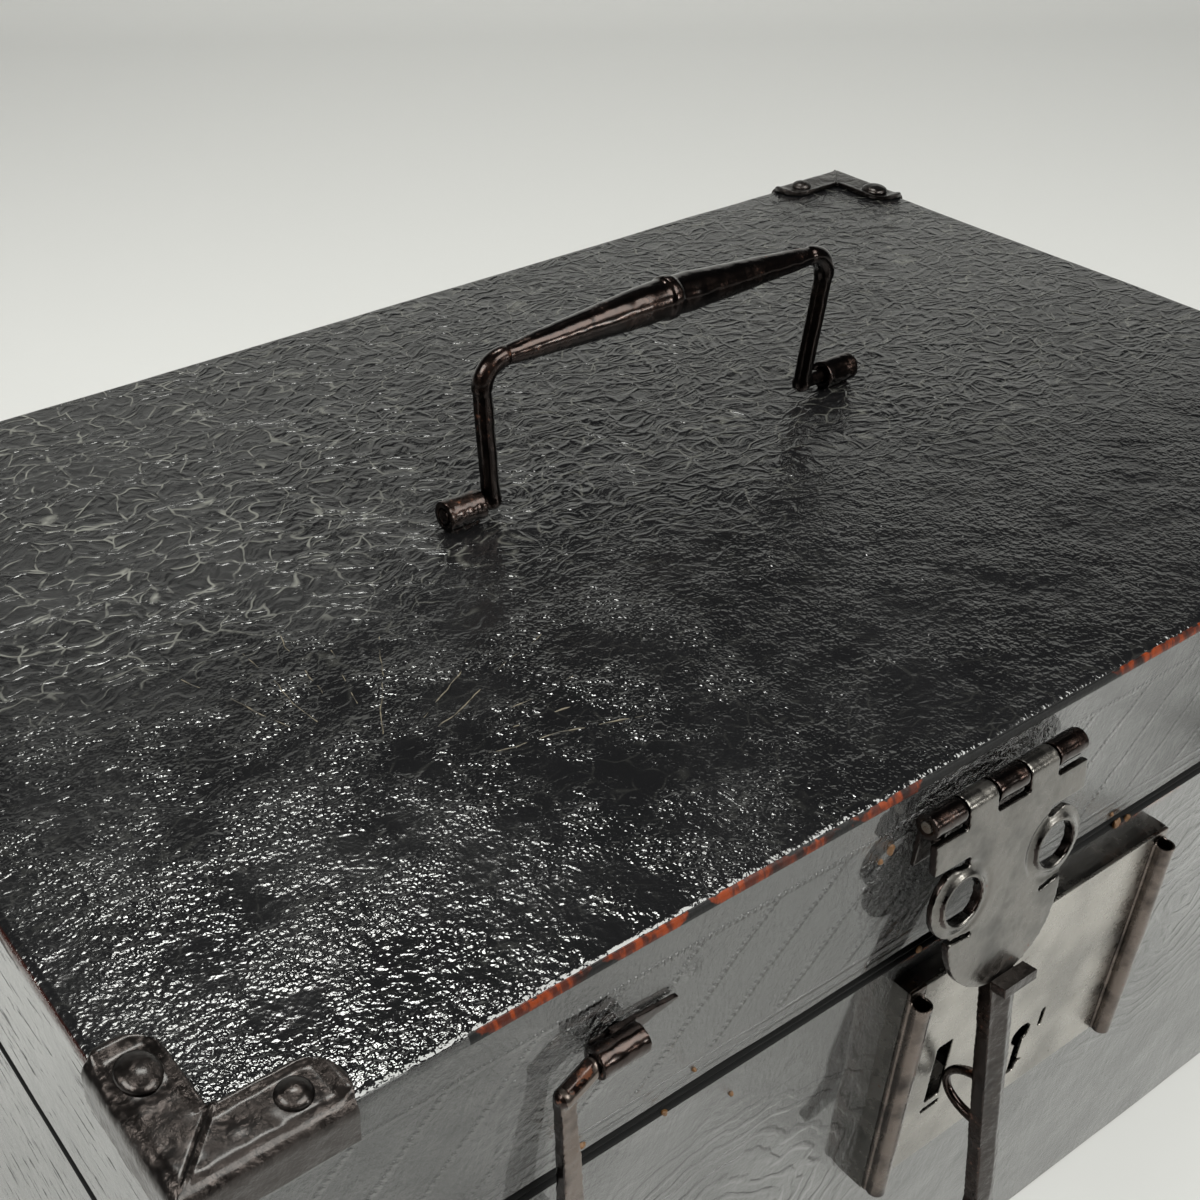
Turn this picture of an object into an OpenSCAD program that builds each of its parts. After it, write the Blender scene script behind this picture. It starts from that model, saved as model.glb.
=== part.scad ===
// Messenger case: a lacquered hide-covered travelling box with iron fittings.
// Origin: middle of the underside. +X right, -Y front, +Z up. Millimetres.

/* [Case] */
// Outside width of the case
case_w = 400; // [360:1:440]
// Outside depth of the case
case_d = 250; // [225:1:280]
// Outside height with the lid shut
case_h = 214; // [195:1:240]
// Height of the lid, from its lower edge to its top
lid_h = 52; // [48:1:64]
// Thickness of the wall boards of the body
board_t = 11; // [10.5:0.5:14]
// Thickness of the floor board
floor_t = 10; // [8:0.5:14]
// Thickness of the board on top of the lid
top_t = 9; // [7:0.5:12]
// Thickness of the lacquered hide glued over the boards
hide_t = 1.2; // [0.8:0.1:1.6]
// Radius of the rounded arrises
arris_r = 2.6; // [2:0.2:3.6]
// Height of the dark joint line between lid and body
seam_h = 3; // [2:0.5:4]
// Depth of that joint line
seam_d = 4; // [3:0.5:5]

/* [Inner lip] */
// Thickness of the lip strips that stand inside the lid
lip_t = 5; // [4:0.5:7]
// Height of the lip above the lower edge of the lid
lip_rise = 9; // [6:0.5:12]
// Length of the lip strips glued below that edge
lip_hold = 18; // [12:1:20]
// Play between the lip and the inside of the lid
lip_play = 1.2; // [1:0.1:2]

/* [Corner irons] */
// Length of each arm of a corner iron
corner_l = 33; // [28:1:40]
// Width of the arms on top
corner_w = 12; // [10:0.5:15]
// Radius of the round lobes at the ends of the arms
corner_lobe_r = 7.5; // [7:0.5:9]
// How far the corner irons reach down the sides
corner_drop = 9; // [6:0.5:14]
// Thickness of the iron sheet of the corner irons
corner_t = 1.2; // [0.8:0.1:1.6]

/* [Nails] */
// Distance of the corner nails from the middle of the lobes, toward the corner
nail_inset = 1.5; // [0:0.5:3]
// Radius of the domed nail heads
nail_r = 3.2; // [2.4:0.1:4]
// Height of the domed nail heads
nail_h = 1.7; // [1.2:0.1:2.2]
// Radius of the nail shanks
shank_r = 0.9; // [0.7:0.1:1.1]
// Length of the nail shanks
shank_l = 8; // [6:0.5:9]

/* [Top handle] */
// Distance of the handle's middle to the right of the lid's middle
handle_x = 7; // [0:1:14]
// Distance of the handle's pivot behind the lid's middle
handle_y = 5; // [0:1:10]
// Half of the distance between the feet of the legs
handle_half = 53; // [48:1:58]
// Angle at which each leg leans outward
handle_lean = 5.4; // [2:0.2:9]
// Height of the grip above the pivot
handle_rise = 37; // [30:1:44]
// How far the middle of the grip rises above its ends
grip_arch = 1.4; // [0.5:0.1:2.5]
// Radius of the legs
leg_r = 2.5; // [2:0.1:3]
// Radius of the grip at its ends
grip_end_r = 2.8; // [2.4:0.1:3.4]
// Radius of the grip in its middle
grip_mid_r = 5.2; // [4:0.1:6]
// Width of the raised collar in the middle of the grip
collar_w = 2.6; // [1.6:0.2:4]
// Radius of the inside of the bends at the top of the legs
bend_r = 3.5; // [2.5:0.5:5]

/* [Handle staples] */
// How far the handle has slid to the left from the middle of its staples
handle_slide = 2; // [0:0.5:3]
// Outer radius of the rolled barrels
staple_r = 4; // [3.5:0.1:5]
// Length of the rolled barrels
staple_l = 11; // [9:0.5:14]
// Radius of the handle's pins in the barrels
handle_pin_r = 2.1; // [1.7:0.1:2.4]
// Radial play of the pins in the rolled barrels
pin_play = 0.1; // [0.05:0.01:0.1]
// Thickness of the staples' shanks and clinched tails
strap_t = 1.5; // [1:0.1:2]
// Length of each clinched tail
tail_l = 13; // [8:1:18]

/* [Hasp] */
// Distance of the hasp's middle from the middle of the case
hasp_x = -15; // [-25:1:-5]
// Width of the hinge barrel
hasp_w = 47; // [42:1:54]
// Depth of the hinge pin below the top of the lid
hasp_drop = 9.5; // [8:0.5:12]
// Outer radius of the hinge barrel
barrel_r = 3; // [2.6:0.1:3.4]
// Radius of the hinge pins
pin_r = 1.25; // [1:0.05:1.5]
// Thickness of the hanging leaf
leaf_t = 2; // [1.5:0.1:2.4]
// Thickness of the leaf nailed to the lid
fixed_t = 1.2; // [0.8:0.1:1.6]
// Height of the leaf nailed to the lid
fixed_l = 13.5; // [12.5:0.5:15]
// Height of the straight part of the hanging leaf, from the pin
leaf_square = 11; // [9:0.5:13]
// Length of the four thin cuts above and below the ears
cut_l = 13; // [9:0.5:14]
// Width of those cuts
cut_w = 1; // [0.6:0.1:1.4]
// Distance from the pin to the middle of the pierced ears
ear_s = 21; // [20:0.5:24]
// Distance between the middles of the two ears
ear_span = 29.4; // [28:0.2:31]
// Outer radius of the ears
ear_r = 9; // [8.5:0.1:9.5]
// Radius of the holes in the ears
ear_hole_r = 5.3; // [4:0.1:6]
// Distance from the pin to the middle of the round shield
shield_s = 32; // [30:0.5:34]
// Radius of the round shield
shield_r = 18; // [16:0.5:19]
// Angle at which the hasp hangs away from the front
hasp_lean = 9; // [6:0.5:10]

/* [Hasp bar] */
// Distance of the bar's middle to the right of the hasp's middle
bar_x = 2; // [0:0.5:4]
// Width of the bar at its top
bar_w = 8.4; // [7:0.2:10]
// Width of the bar above its flared end
bar_low_w = 6; // [5:0.2:7]
// Width of the flared end of the bar
bar_end_w = 15; // [11:0.5:20]
// Depth of the bar from front to back
bar_t = 4; // [3.4:0.2:4.4]
// Distance from the pin to the start of the flare
flare_s = 119; // [112:1:124]
// Distance from the pin to the end of the bar
bar_s = 138; // [132:1:146]
// Length of the tongue that joins the bar to the back of the leaf
tongue_l = 12; // [8:1:16]
// Reach of the lug in front of the leaf
lug_reach = 9; // [7:0.5:11]
// Height of the lug
lug_t = 3; // [2.4:0.2:4]
// Width of the lug
lug_w = 11; // [9:0.5:13]
// Distance from the pin to the middle of the locking loop
loop_s = 90; // [86:1:93]
// Height of the locking loop
loop_h = 16; // [14:0.5:18]
// Thickness of the locking loop
loop_t = 3; // [2.5:0.1:3.5]
// Width of the iron round the eye of the locking loop
loop_rim = 2.6; // [2.2:0.1:2.8]
// How far the locking loop reaches behind the bar
loop_reach = 10.4; // [9.6:0.1:10.6]

/* [Lock] */
// Distance of the lock's middle from the middle of the case
lock_x = 14; // [12:0.5:17]
// Width of the lock
lock_w = 92; // [88:1:100]
// Height of the lock
lock_h = 70; // [66:1:76]
// Depth of the lock's upper edge below the top of the lid
lock_drop = 61; // [60.5:0.5:62]
// How far the lock case stands out from the body
lock_proud = 4; // [3.5:0.1:4.4]
// Depth of the lock case set into the front board
lock_sunk = 8; // [7.5:0.1:8.5]
// Thickness of the lock's sheet iron
lock_t = 1; // [0.8:0.1:1.2]
// Radius of the rolled side edges of the lock plate
roll_r = 2.5; // [2.2:0.1:3]
// Bore radius of the rolled side edges
roll_bore_r = 1.8; // [1.2:0.1:1.9]
// Distance from the top of the plate to the top of the rolled edges
roll_drop = 3; // [2:0.5:5]
// Width of the slot for the locking loop
slot_w = 5.4; // [5:0.1:6.4]
// Radius of the slot's corners
slot_r = 0.8; // [0.4:0.1:1.5]
// Distance of the keyhole to the right of the lock's middle
key_x = 6; // [4:0.5:8]
// Radius of the round head of the keyhole
key_r = 3.4; // [2.6:0.1:4]
// Height of the keyhole
key_h = 18; // [14:0.5:20]
// Width of the keyhole's slot
key_w = 3; // [2:0.1:4]
// Width of the two small slits in the plate
slit_w = 1.6; // [1:0.1:2]
// Length of the two small slits in the plate
slit_l = 6.5; // [5:0.5:8]
// Thickness of the bolt
bolt_t = 2.6; // [2.2:0.1:2.7]
// Height of the bolt
bolt_h = 6; // [5:0.5:7]
// Length of the bolt
bolt_l = 46; // [44:1:50]
// Travel of the bolt
bolt_travel = 8; // [7:0.5:9]
// Height of the tail of the bolt that the key pushes
tail_h = 9; // [7:0.5:10]
// Width of that tail
tail_w = 4; // [3:0.5:5]
// Width of each of the two guides of the bolt
guide_w = 3.2; // [2.4:0.2:4]
// Height of the leaf spring above the bolt
spring_h = 14; // [10:1:17]
// Length of the leaf spring
spring_l = 17; // [14:1:19]
// Thickness of the leaf spring
spring_t = 1.2; // [0.8:0.1:1.6]

/* [Side latches] */
// Distance of the latch staples from the middle of the case
latch_x = 116.5; // [105:0.5:125]
// Depth of the latch pivots below the top of the lid
latch_drop = 21; // [19:0.5:24]
// Outer radius of the rolled latch barrels
latch_r = 3.3; // [3:0.1:3.6]
// Length of the rolled latch barrels
latch_l = 11; // [9:0.5:13]
// Radius of the latch pins
latch_pin_r = 1.7; // [1.4:0.1:1.9]
// Length of the pointed tang beside a latch barrel
tang_l = 11; // [8:0.5:14]
// Length of the clinched tails of a latch staple, inside the lid
clinch_l = 8; // [5:0.5:9]
// Length of the short arm between barrel and leg
arm_l = 6.5; // [5:0.5:8]
// Radius of the latch leg at its top
latch_leg_r = 2.2; // [1.9:0.1:2.4]
// Width of the latch leg at its lower end
latch_low_w = 7; // [6:0.5:8]
// Length of the latch leg, from the pivot to its eye plate
latch_s = 58; // [54:1:62]
// Radius of the eye plate of a latch
eye_r = 8.6; // [8:0.2:9.4]
// Thickness of the eye plate
eye_t = 3; // [2.5:0.1:3.4]
// Radius of the hole in the eye plate
eye_hole_r = 4.2; // [4:0.1:5]
// Angle at which the latches hang away from the front
latch_lean = 6; // [5:0.5:7]
// Radius of the catch that a latch drops over
catch_r = 2; // [1.8:0.1:2.2]
// How far the catch stands out from the body
catch_reach = 6.2; // [5.6:0.1:6.4]

/* [Back hinges] */
// Distance of the back hinges from the middle of the case
hinge_x = 125; // [100:1:140]
// Width of a back hinge
hinge_w = 36; // [30:1:44]
// Height of each leaf of a back hinge
hinge_leaf = 22; // [18:1:30]
// Thickness of the hinge leaves
hinge_t = 1.4; // [1:0.1:1.8]

/* [Hidden] */
$fn = 48;

lacquer = "#1b1b1c";
hidden_wood = "#8a6a48";
iron = "#2b2321";
bright_iron = "#8d8a86";

// Gap left between pieces that move past each other
clear = 0.3;
// Play of nail shanks and straps in their holes
hole_play = 0.1;
// Play of hinge pins in the barrels that are fixed and in those that turn
fixed_play = 0.03;
turn_play = 0.08;
// Width of the glued butt joints of the lip
glue_gap = 0.1;
// A cut reaches this far past the face that it opens
eps = 0.01;

half_w = case_w / 2;
half_d = case_d / 2;
front_y = -half_d;
back_y = half_d;
lid_z = case_h - lid_h;
rim_z = lid_z - clear;
ledge_z = lid_z - seam_h;
lid_board_t = board_t - lip_play;
// Outer faces of the boards, under the hide
board_w = case_w - 2 * hide_t;
board_d = case_d - 2 * hide_t;
// Upper face of the board on top of the lid
top_board_z = case_h - hide_t;
under_top_z = top_board_z - top_t;

pivot_z = case_h + staple_r;
handle_pivot_y = handle_y;
leg_out_r = leg_r * 1.06;
staples_x = handle_x + handle_slide;
// Distance from the middle of the staples to the near ends of their barrels
staple_gap = handle_half + leg_out_r + staple_r * tan(handle_lean) + handle_slide + clear;
handle_pin_l = staple_gap - handle_half + handle_slide + staple_l * 0.65;

hasp_y = front_y - barrel_r - 0.4;
hasp_z = case_h - hasp_drop;
knuckle_w = hasp_w / 5;
loop_x = hasp_x + bar_x;

lock_z = case_h - lock_drop - lock_h;
plate_y = front_y - lock_proud;
sunk_y = front_y + lock_sunk;
// Nails that hold the case end just inside the front board
case_nail_l = hide_t + board_t - lock_sunk + lock_t - 1.2;
// Height of the bolt, level with the locking loop
bolt_z = hasp_z - loop_s - 0.5;
bolt_y = plate_y + 0.5 + bolt_t / 2;
slot_h = loop_h + 4;
// Left end of the bolt, just clear of the locking loop
bolt_x = loop_x + loop_t / 2 + 2;
key_z = bolt_z - bolt_h / 2 - tail_h + 2.5;

latch_y = front_y - latch_r - 0.2;
latch_z = case_h - latch_drop;
leg_x = latch_x + latch_l / 2 + arm_l;
catch_z = latch_z - latch_s;

hinge_y = back_y + barrel_r + 0.4;
hinge_z = lid_z - seam_h / 2;

// Rounded rectangle about the origin, with true arcs
module round_rect(w, h, r) {
    square([w - 2 * r, h], center = true);
    square([w, h - 2 * r], center = true);
    for (x = [-1, 1], y = [-1, 1]) translate([x * (w / 2 - r), y * (h / 2 - r)]) circle(r);
}

// Block from z0 to z1, rounded on its upright edges and on its top or bottom edges
module soft_block(w, d, z0, z1, r, top) {
    far = z1 - z0 + 2 * r;
    mid = top ? z1 - far / 2 : z0 + far / 2;
    intersection() {
        translate([0, 0, z0]) linear_extrude(z1 - z0) round_rect(w, d, r);
        translate([0, d / 2, mid]) rotate([90, 0, 0]) linear_extrude(d) round_rect(w, far, r);
        translate([-w / 2, 0, mid]) rotate([90, 0, 90]) linear_extrude(w) round_rect(d, far, r);
    }
}

// Box given by its lowest and highest corner
module box(a, b) {
    translate(a) cube(b - a);
}

// Domed nail with its shank, standing along +Z on the face z = 0
module nail(r = nail_r, h = nail_h, length = shank_l) {
    sphere_r = (r * r + h * h) / (2 * h);
    intersection() {
        translate([0, 0, h - sphere_r]) sphere(sphere_r);
        cylinder(r = r + 1, h = h + 1);
    }
    translate([0, 0, -length]) cylinder(r = shank_r, h = length + eps);
}

// Hole for such a nail
module nail_hole(length = shank_l) {
    translate([0, 0, -length - hole_play]) cylinder(r = shank_r + hole_play, h = length + 3);
}

// Turns +Z to face out of the front or out of the back
module to_front() { rotate([90, 0, 0]) children(); }
module to_back() { rotate([-90, 0, 0]) children(); }

// Places of the eight corner nails: near the end of each arm, on top
module at_corner_nails() {
    along = corner_l - corner_lobe_r - nail_inset;
    across = corner_w / 2;
    for (x = [-1, 1], y = [-1, 1]) {
        translate([x * (half_w - across), y * (half_d - along), case_h + corner_t]) children();
        translate([x * (half_w - along), y * (half_d - across), case_h + corner_t]) children();
    }
}

module at_hasp_nails() {
    for (x = [-1, 1]) {
        translate([hasp_x + x * ear_span / 2, front_y - fixed_t, hasp_z - fixed_l + 4.5]) to_front() children();
    }
}

module at_lock_nails() {
    for (x = [-1, 1], z = [0.12, 0.88]) {
        translate([lock_x + x * (lock_w / 2 - 11), sunk_y - lock_t, lock_z + z * lock_h]) to_front() children();
    }
}

module at_hinge_nails(z) {
    for (side = [-1, 1], x = [-1, 1]) {
        translate([side * hinge_x + x * hinge_w * 0.3, back_y + hinge_t, z]) to_back() children();
    }
}

// Half pipe slots for the straps of the handle staples, through lid board and hide
module handle_strap_holes() {
    for (side = [-1, 1]) {
        translate([staples_x + side * (staple_gap + staple_l / 2), handle_pivot_y, under_top_z - 1])
            linear_extrude(top_t + hide_t + 2)
                square([staple_l - 2 + 2 * hole_play, 2 * strap_t + 2 * hole_play], center = true);
    }
}

// Slots for the straps of the latch staples, through the front of the lid
module latch_strap_holes() {
    for (side = [-1, 1]) {
        translate([side * latch_x, front_y - 1, latch_z]) rotate([-90, 0, 0])
            linear_extrude(hide_t + lid_board_t + 2)
                square([latch_l - 3 + 2 * hole_play, 2 * strap_t + 2 * hole_play], center = true);
    }
}

// Shank holes of the two latch catches, through the front of the body
module catch_holes() {
    for (side = [-1, 1]) {
        translate([side * leg_x, front_y - 1, catch_z]) rotate([-90, 0, 0])
            cylinder(r = catch_r * 0.7 + hole_play, h = hide_t + board_t + 2);
    }
}

// Stepped wall board of the body: its outer part stops lower, which makes the joint line
module body_wall(length, thick, out) {
    rotate([90, 0, 90]) translate([0, 0, -length / 2]) linear_extrude(length)
        difference() {
            translate([0, floor_t]) square([thick, rim_z - floor_t]);
            translate([out ? -1 : thick - (seam_d - hide_t), ledge_z]) square([seam_d - hide_t + 1, seam_h + 1]);
        }
}

module body_floor() {
    color(hidden_wood) box([-board_w / 2, -board_d / 2, 0], [board_w / 2, board_d / 2, floor_t]);
}

module body_front() {
    color(hidden_wood) difference() {
        translate([0, -board_d / 2, 0]) body_wall(board_w, board_t, true);
        box([lock_x - lock_w / 2, -board_d / 2 - 1, lock_z],
            [lock_x + lock_w / 2, sunk_y, lock_z + lock_h]);
        for (side = [-1, 1]) corner_rebate(side, true);
        catch_holes();
        at_lock_nails() nail_hole(case_nail_l);
    }
}

// Cuts the joint line through the ends of the front and back boards
module corner_rebate(side, front) {
    translate([side > 0 ? board_w / 2 - (seam_d - hide_t) : -board_w / 2 - 1,
        front ? -board_d / 2 - 1 : board_d / 2 - board_t - 1, ledge_z])
        cube([seam_d - hide_t + 1, board_t + 2, seam_h + 1]);
}

module body_back() {
    color(hidden_wood) difference() {
        translate([0, board_d / 2 - board_t, 0]) body_wall(board_w, board_t, false);
        for (side = [-1, 1]) corner_rebate(side, false);
        at_hinge_nails(hinge_z - hinge_leaf * 0.7) nail_hole();
    }
}

module body_left() { color(hidden_wood) mirror([1, 0, 0]) body_side_right(); }
module body_right() { color(hidden_wood) body_side_right(); }

module body_side_right() {
    translate([board_w / 2, 0, 0]) rotate([0, 0, 90]) body_wall(board_d - 2 * board_t, board_t, true);
}

module body_hide() {
    color(lacquer) difference() {
        soft_block(case_w, case_d, 0, ledge_z, arris_r, false);
        box([-board_w / 2, -board_d / 2, -1], [board_w / 2, board_d / 2, ledge_z + 1]);
        box([lock_x - lock_w / 2, front_y - 1, lock_z],
            [lock_x + lock_w / 2, front_y + 2, lock_z + lock_h]);
        catch_holes();
        at_hinge_nails(hinge_z - hinge_leaf * 0.7) nail_hole();
    }
}

module inner_lip() {
    in_w = board_w / 2 - board_t;
    in_d = board_d / 2 - board_t;
    end_d = in_d - lip_t - glue_gap;
    z0 = lid_z - lip_hold;
    z1 = lid_z + lip_rise;
    color(hidden_wood) {
        for (y = [-1, 1]) box([-in_w, y > 0 ? in_d - lip_t : -in_d, z0], [in_w, y > 0 ? in_d : lip_t - in_d, z1]);
        for (x = [-1, 1]) box([x > 0 ? in_w - lip_t : -in_w, -end_d, z0], [x > 0 ? in_w : lip_t - in_w, end_d, z1]);
    }
}

// Sheet-iron box let into the front board, open towards the plate
module lock_case() {
    color(iron) difference() {
        box([lock_x - lock_w / 2, plate_y, lock_z], [lock_x + lock_w / 2, sunk_y, lock_z + lock_h]);
        box([lock_x - lock_w / 2 + lock_t, plate_y - 1, lock_z + lock_t],
            [lock_x + lock_w / 2 - lock_t, sunk_y - lock_t, lock_z + lock_h - lock_t]);
        at_lock_nails() nail_hole(case_nail_l);
    }
}

// Outline of the slot for the loop and of the keyhole, in the plane of the plate
module plate_holes() {
    translate([loop_x, bolt_z]) round_rect(slot_w, slot_h, slot_r);
    translate([lock_x + key_x, key_z]) {
        circle(key_r);
        translate([-key_w / 2, key_r - key_h]) square([key_w, key_h - key_r]);
        polygon([[-key_w / 2, key_r - key_h], [key_w * 1.3, key_r - key_h + key_w], [-key_w / 2, key_r - key_h + 2 * key_w]]);
        translate([key_r + key_w * 1.4, slit_w]) round_rect(slit_w, slit_l, slit_w / 2 - eps);
    }
    translate([loop_x, bolt_z - slot_h / 2 - 1.8 * slit_w]) round_rect(slit_l, slit_w, slit_w / 2 - eps);
}

module lock_plate() {
    roll_y = plate_y - roll_r;
    roll_h = lock_h - roll_drop;
    color(bright_iron) difference() {
        union() {
            translate([0, plate_y, 0]) rotate([90, 0, 0]) linear_extrude(lock_t) difference() {
                translate([lock_x - lock_w / 2, lock_z]) square([lock_w, lock_h]);
                plate_holes();
            }
            for (side = [-1, 1]) translate([lock_x + side * (lock_w / 2 - roll_r), roll_y, lock_z])
                cylinder(r = roll_r, h = roll_h);
        }
        for (side = [-1, 1]) translate([lock_x + side * (lock_w / 2 - roll_r), roll_y, lock_z - 1])
            cylinder(r = roll_bore_r, h = roll_h + 2);
    }
}

module lock_nails() {
    color(iron) at_lock_nails() nail(1.8, 0.8, case_nail_l);
}

// Sliding bolt with the tail that the key pushes. Its tail stands just left of the keyhole
module lock_bolt() {
    tail_x = lock_x + key_x - key_w / 2 - tail_w + 0.5 - bolt_x;
    color(bright_iron) translate([bolt_x, bolt_y, bolt_z]) rotate([90, 0, 0])
        translate([0, 0, -bolt_t / 2]) linear_extrude(bolt_t) {
            translate([bolt_h / 4, -bolt_h / 2]) square([bolt_l - bolt_h / 4, bolt_h]);
            translate([0, -bolt_h / 4]) square([bolt_h, bolt_h / 2]);
            translate([tail_x, -bolt_h / 2 - tail_h]) square([tail_w, tail_h + 1]);
        }
}

// Two loops riveted in the case, which carry the bolt in both of its places
module bolt_guides() {
    rim = guide_w * 0.75;
    color(iron) for (x = [bolt_x + guide_w + 1.4, bolt_x + bolt_l - bolt_travel - guide_w]) difference() {
        box([x - guide_w / 2, plate_y + clear, bolt_z - bolt_h / 2 - rim],
            [x + guide_w / 2, sunk_y - lock_t, bolt_z + bolt_h / 2 + rim]);
        box([x - guide_w, bolt_y - bolt_t / 2 - clear, bolt_z - bolt_h / 2 - clear],
            [x + guide_w, bolt_y + bolt_t / 2 + clear, bolt_z + bolt_h / 2 + clear]);
    }
}

// Leaf spring on a stud, lying over the bolt
module lock_spring() {
    stud_r = 2.2;
    stud_h = lock_sunk + lock_proud - lock_t - 1.5;
    tip = -spring_l * 0.75;
    low = bolt_z + bolt_h / 2 + clear;
    high = low + spring_h;
    color(bright_iron) translate([bolt_x + bolt_l * 0.6, 0, 0]) {
        translate([0, sunk_y - lock_t, high]) rotate([90, 0, 0]) cylinder(r = stud_r, h = stud_h);
        translate([0, bolt_y + bolt_t / 2, 0]) rotate([90, 0, 0]) linear_extrude(bolt_t)
            polygon([[0, high - stud_r], [0, high - stud_r + spring_t], [tip, low + spring_t],
                [-spring_l, low], [tip, low]]);
    }
}

module latch_catches() {
    color(iron) for (side = [-1, 1]) translate([side * leg_x, front_y, catch_z]) {
        to_front() cylinder(r = catch_r, h = catch_reach - catch_r * 0.4);
        to_front() translate([0, 0, catch_reach - catch_r * 0.4]) cylinder(r1 = catch_r, r2 = catch_r * 0.6, h = catch_r * 0.4);
        to_front() cylinder(r = catch_r + 1.6, h = 1);
        to_back() cylinder(r = catch_r * 0.7, h = hide_t + board_t);
        translate([0, hide_t + board_t, 0]) to_back() cylinder(r = catch_r, h = 1.2);
    }
}

// One back hinge leaf with knuckles: dir is 1 on the lid and -1 on the body
module hinge_leaf_at(side, dir) {
    w3 = hinge_w / 3;
    ranges = dir > 0 ? [[-w3 / 2 + clear / 2, w3 / 2 - clear / 2]]
        : [[-hinge_w / 2, -w3 / 2 - clear / 2], [w3 / 2 + clear / 2, hinge_w / 2]];
    play = dir > 0 ? turn_play : fixed_play;
    translate([side * hinge_x, 0, 0]) difference() {
        union() {
            box([-hinge_w / 2, back_y, dir > 0 ? hinge_z + barrel_r + 1 : hinge_z - hinge_leaf],
                [hinge_w / 2, back_y + hinge_t, dir > 0 ? hinge_z + hinge_leaf : hinge_z - barrel_r - 1]);
            for (range = ranges) {
                box([range[0], back_y, min(hinge_z, hinge_z + dir * (barrel_r + 2))],
                    [range[1], back_y + hinge_t, max(hinge_z, hinge_z + dir * (barrel_r + 2))]);
                translate([range[0], hinge_y, hinge_z]) rotate([0, 90, 0]) cylinder(r = barrel_r, h = range[1] - range[0]);
            }
        }
        translate([-hinge_w / 2 - 1, hinge_y, hinge_z]) rotate([0, 90, 0]) cylinder(r = pin_r + play, h = hinge_w + 2);
    }
}

module hinge_body_leaves() {
    color(iron) difference() {
        for (side = [-1, 1]) hinge_leaf_at(side, -1);
        at_hinge_nails(hinge_z - hinge_leaf * 0.7) nail_hole();
    }
}

module hinge_lid_leaves() {
    color(iron) difference() {
        for (side = [-1, 1]) hinge_leaf_at(side, 1);
        at_hinge_nails(hinge_z + hinge_leaf * 0.7) nail_hole();
    }
}

module hinge_pins() {
    color(bright_iron) for (side = [-1, 1]) translate([side * hinge_x - hinge_w / 2, hinge_y, hinge_z])
        rotate([0, 90, 0]) cylinder(r = pin_r, h = hinge_w);
}

module hinge_nails_body() {
    color(iron) at_hinge_nails(hinge_z - hinge_leaf * 0.7) nail(2.4, 1.2);
}

module hinge_nails_lid() {
    color(iron) at_hinge_nails(hinge_z + hinge_leaf * 0.7) nail(2.4, 1.2);
}

module lid_top() {
    color(hidden_wood) difference() {
        box([-board_w / 2, -board_d / 2, under_top_z], [board_w / 2, board_d / 2, top_board_z]);
        handle_strap_holes();
        at_corner_nails() nail_hole();
    }
}

module lid_front() {
    color(hidden_wood) difference() {
        box([-board_w / 2, -board_d / 2, lid_z], [board_w / 2, lid_board_t - board_d / 2, under_top_z]);
        latch_strap_holes();
        at_hasp_nails() nail_hole();
    }
}

module lid_back() {
    color(hidden_wood) difference() {
        box([-board_w / 2, board_d / 2 - lid_board_t, lid_z], [board_w / 2, board_d / 2, under_top_z]);
        at_hinge_nails(hinge_z + hinge_leaf * 0.7) nail_hole();
    }
}

module lid_right() {
    color(hidden_wood) box([board_w / 2 - lid_board_t, lid_board_t - board_d / 2, lid_z],
        [board_w / 2, board_d / 2 - lid_board_t, under_top_z]);
}

module lid_left() { mirror([1, 0, 0]) lid_right(); }

// Outside of the lid, with its rounded arrises, grown by g
module lid_block(g) {
    soft_block(case_w + 2 * g, case_d + 2 * g, lid_z - g, case_h + g, arris_r + g, true);
}

module lid_hide() {
    color(lacquer) difference() {
        lid_block(0);
        box([-board_w / 2, -board_d / 2, lid_z - 1], [board_w / 2, board_d / 2, top_board_z]);
        handle_strap_holes();
        latch_strap_holes();
        at_corner_nails() nail_hole();
        at_hasp_nails() nail_hole();
        at_hinge_nails(hinge_z + hinge_leaf * 0.7) nail_hole();
    }
}

// Ground plan of a corner iron, its corner at the origin, arms along +X and +Y. It reaches
// past the corner by over, so that the arms take in the flanges on the sides
module corner_plan() {
    over = corner_t + 4;
    arm = corner_l - corner_lobe_r;
    foot = corner_lobe_r * 0.4;
    translate([-over, -over]) square([arm + over, corner_w + over]);
    translate([-over, -over]) square([corner_w + over, arm + over]);
    translate([arm, corner_w - corner_lobe_r]) circle(corner_lobe_r);
    translate([corner_w - corner_lobe_r, arm]) circle(corner_lobe_r);
    translate([arm, -over]) square([corner_lobe_r * 0.85, foot + over]);
    translate([-over, arm]) square([foot + over, corner_lobe_r * 0.85]);
}

module corner_iron(x, y) {
    color(iron) difference() {
        intersection() {
            lid_block(corner_t);
            translate([x * half_w, y * half_d, case_h - corner_drop]) scale([-x, -y, 1])
                linear_extrude(corner_drop + 5) corner_plan();
        }
        lid_block(0);
        at_corner_nails() nail_hole();
    }
}

module corner_front_left() { corner_iron(-1, -1); }
module corner_front_right() { corner_iron(1, -1); }
module corner_back_left() { corner_iron(-1, 1); }
module corner_back_right() { corner_iron(1, 1); }

module corner_nails() {
    color(iron) at_corner_nails() nail();
}

// Half of the grip, revolved: slender at the elbow, full at the collar
module half_grip(length) {
    rotate([0, 90, 0]) rotate_extrude() polygon([
        [0, 0], [grip_mid_r, 0], [grip_mid_r * 0.98, length * 0.15], [grip_mid_r * 0.88, length * 0.35],
        [(grip_mid_r + grip_end_r) / 2 - 0.2, length * 0.62], [grip_end_r + 0.1, length * 0.9],
        [grip_end_r - 0.3, length], [0, length]]);
}

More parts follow.
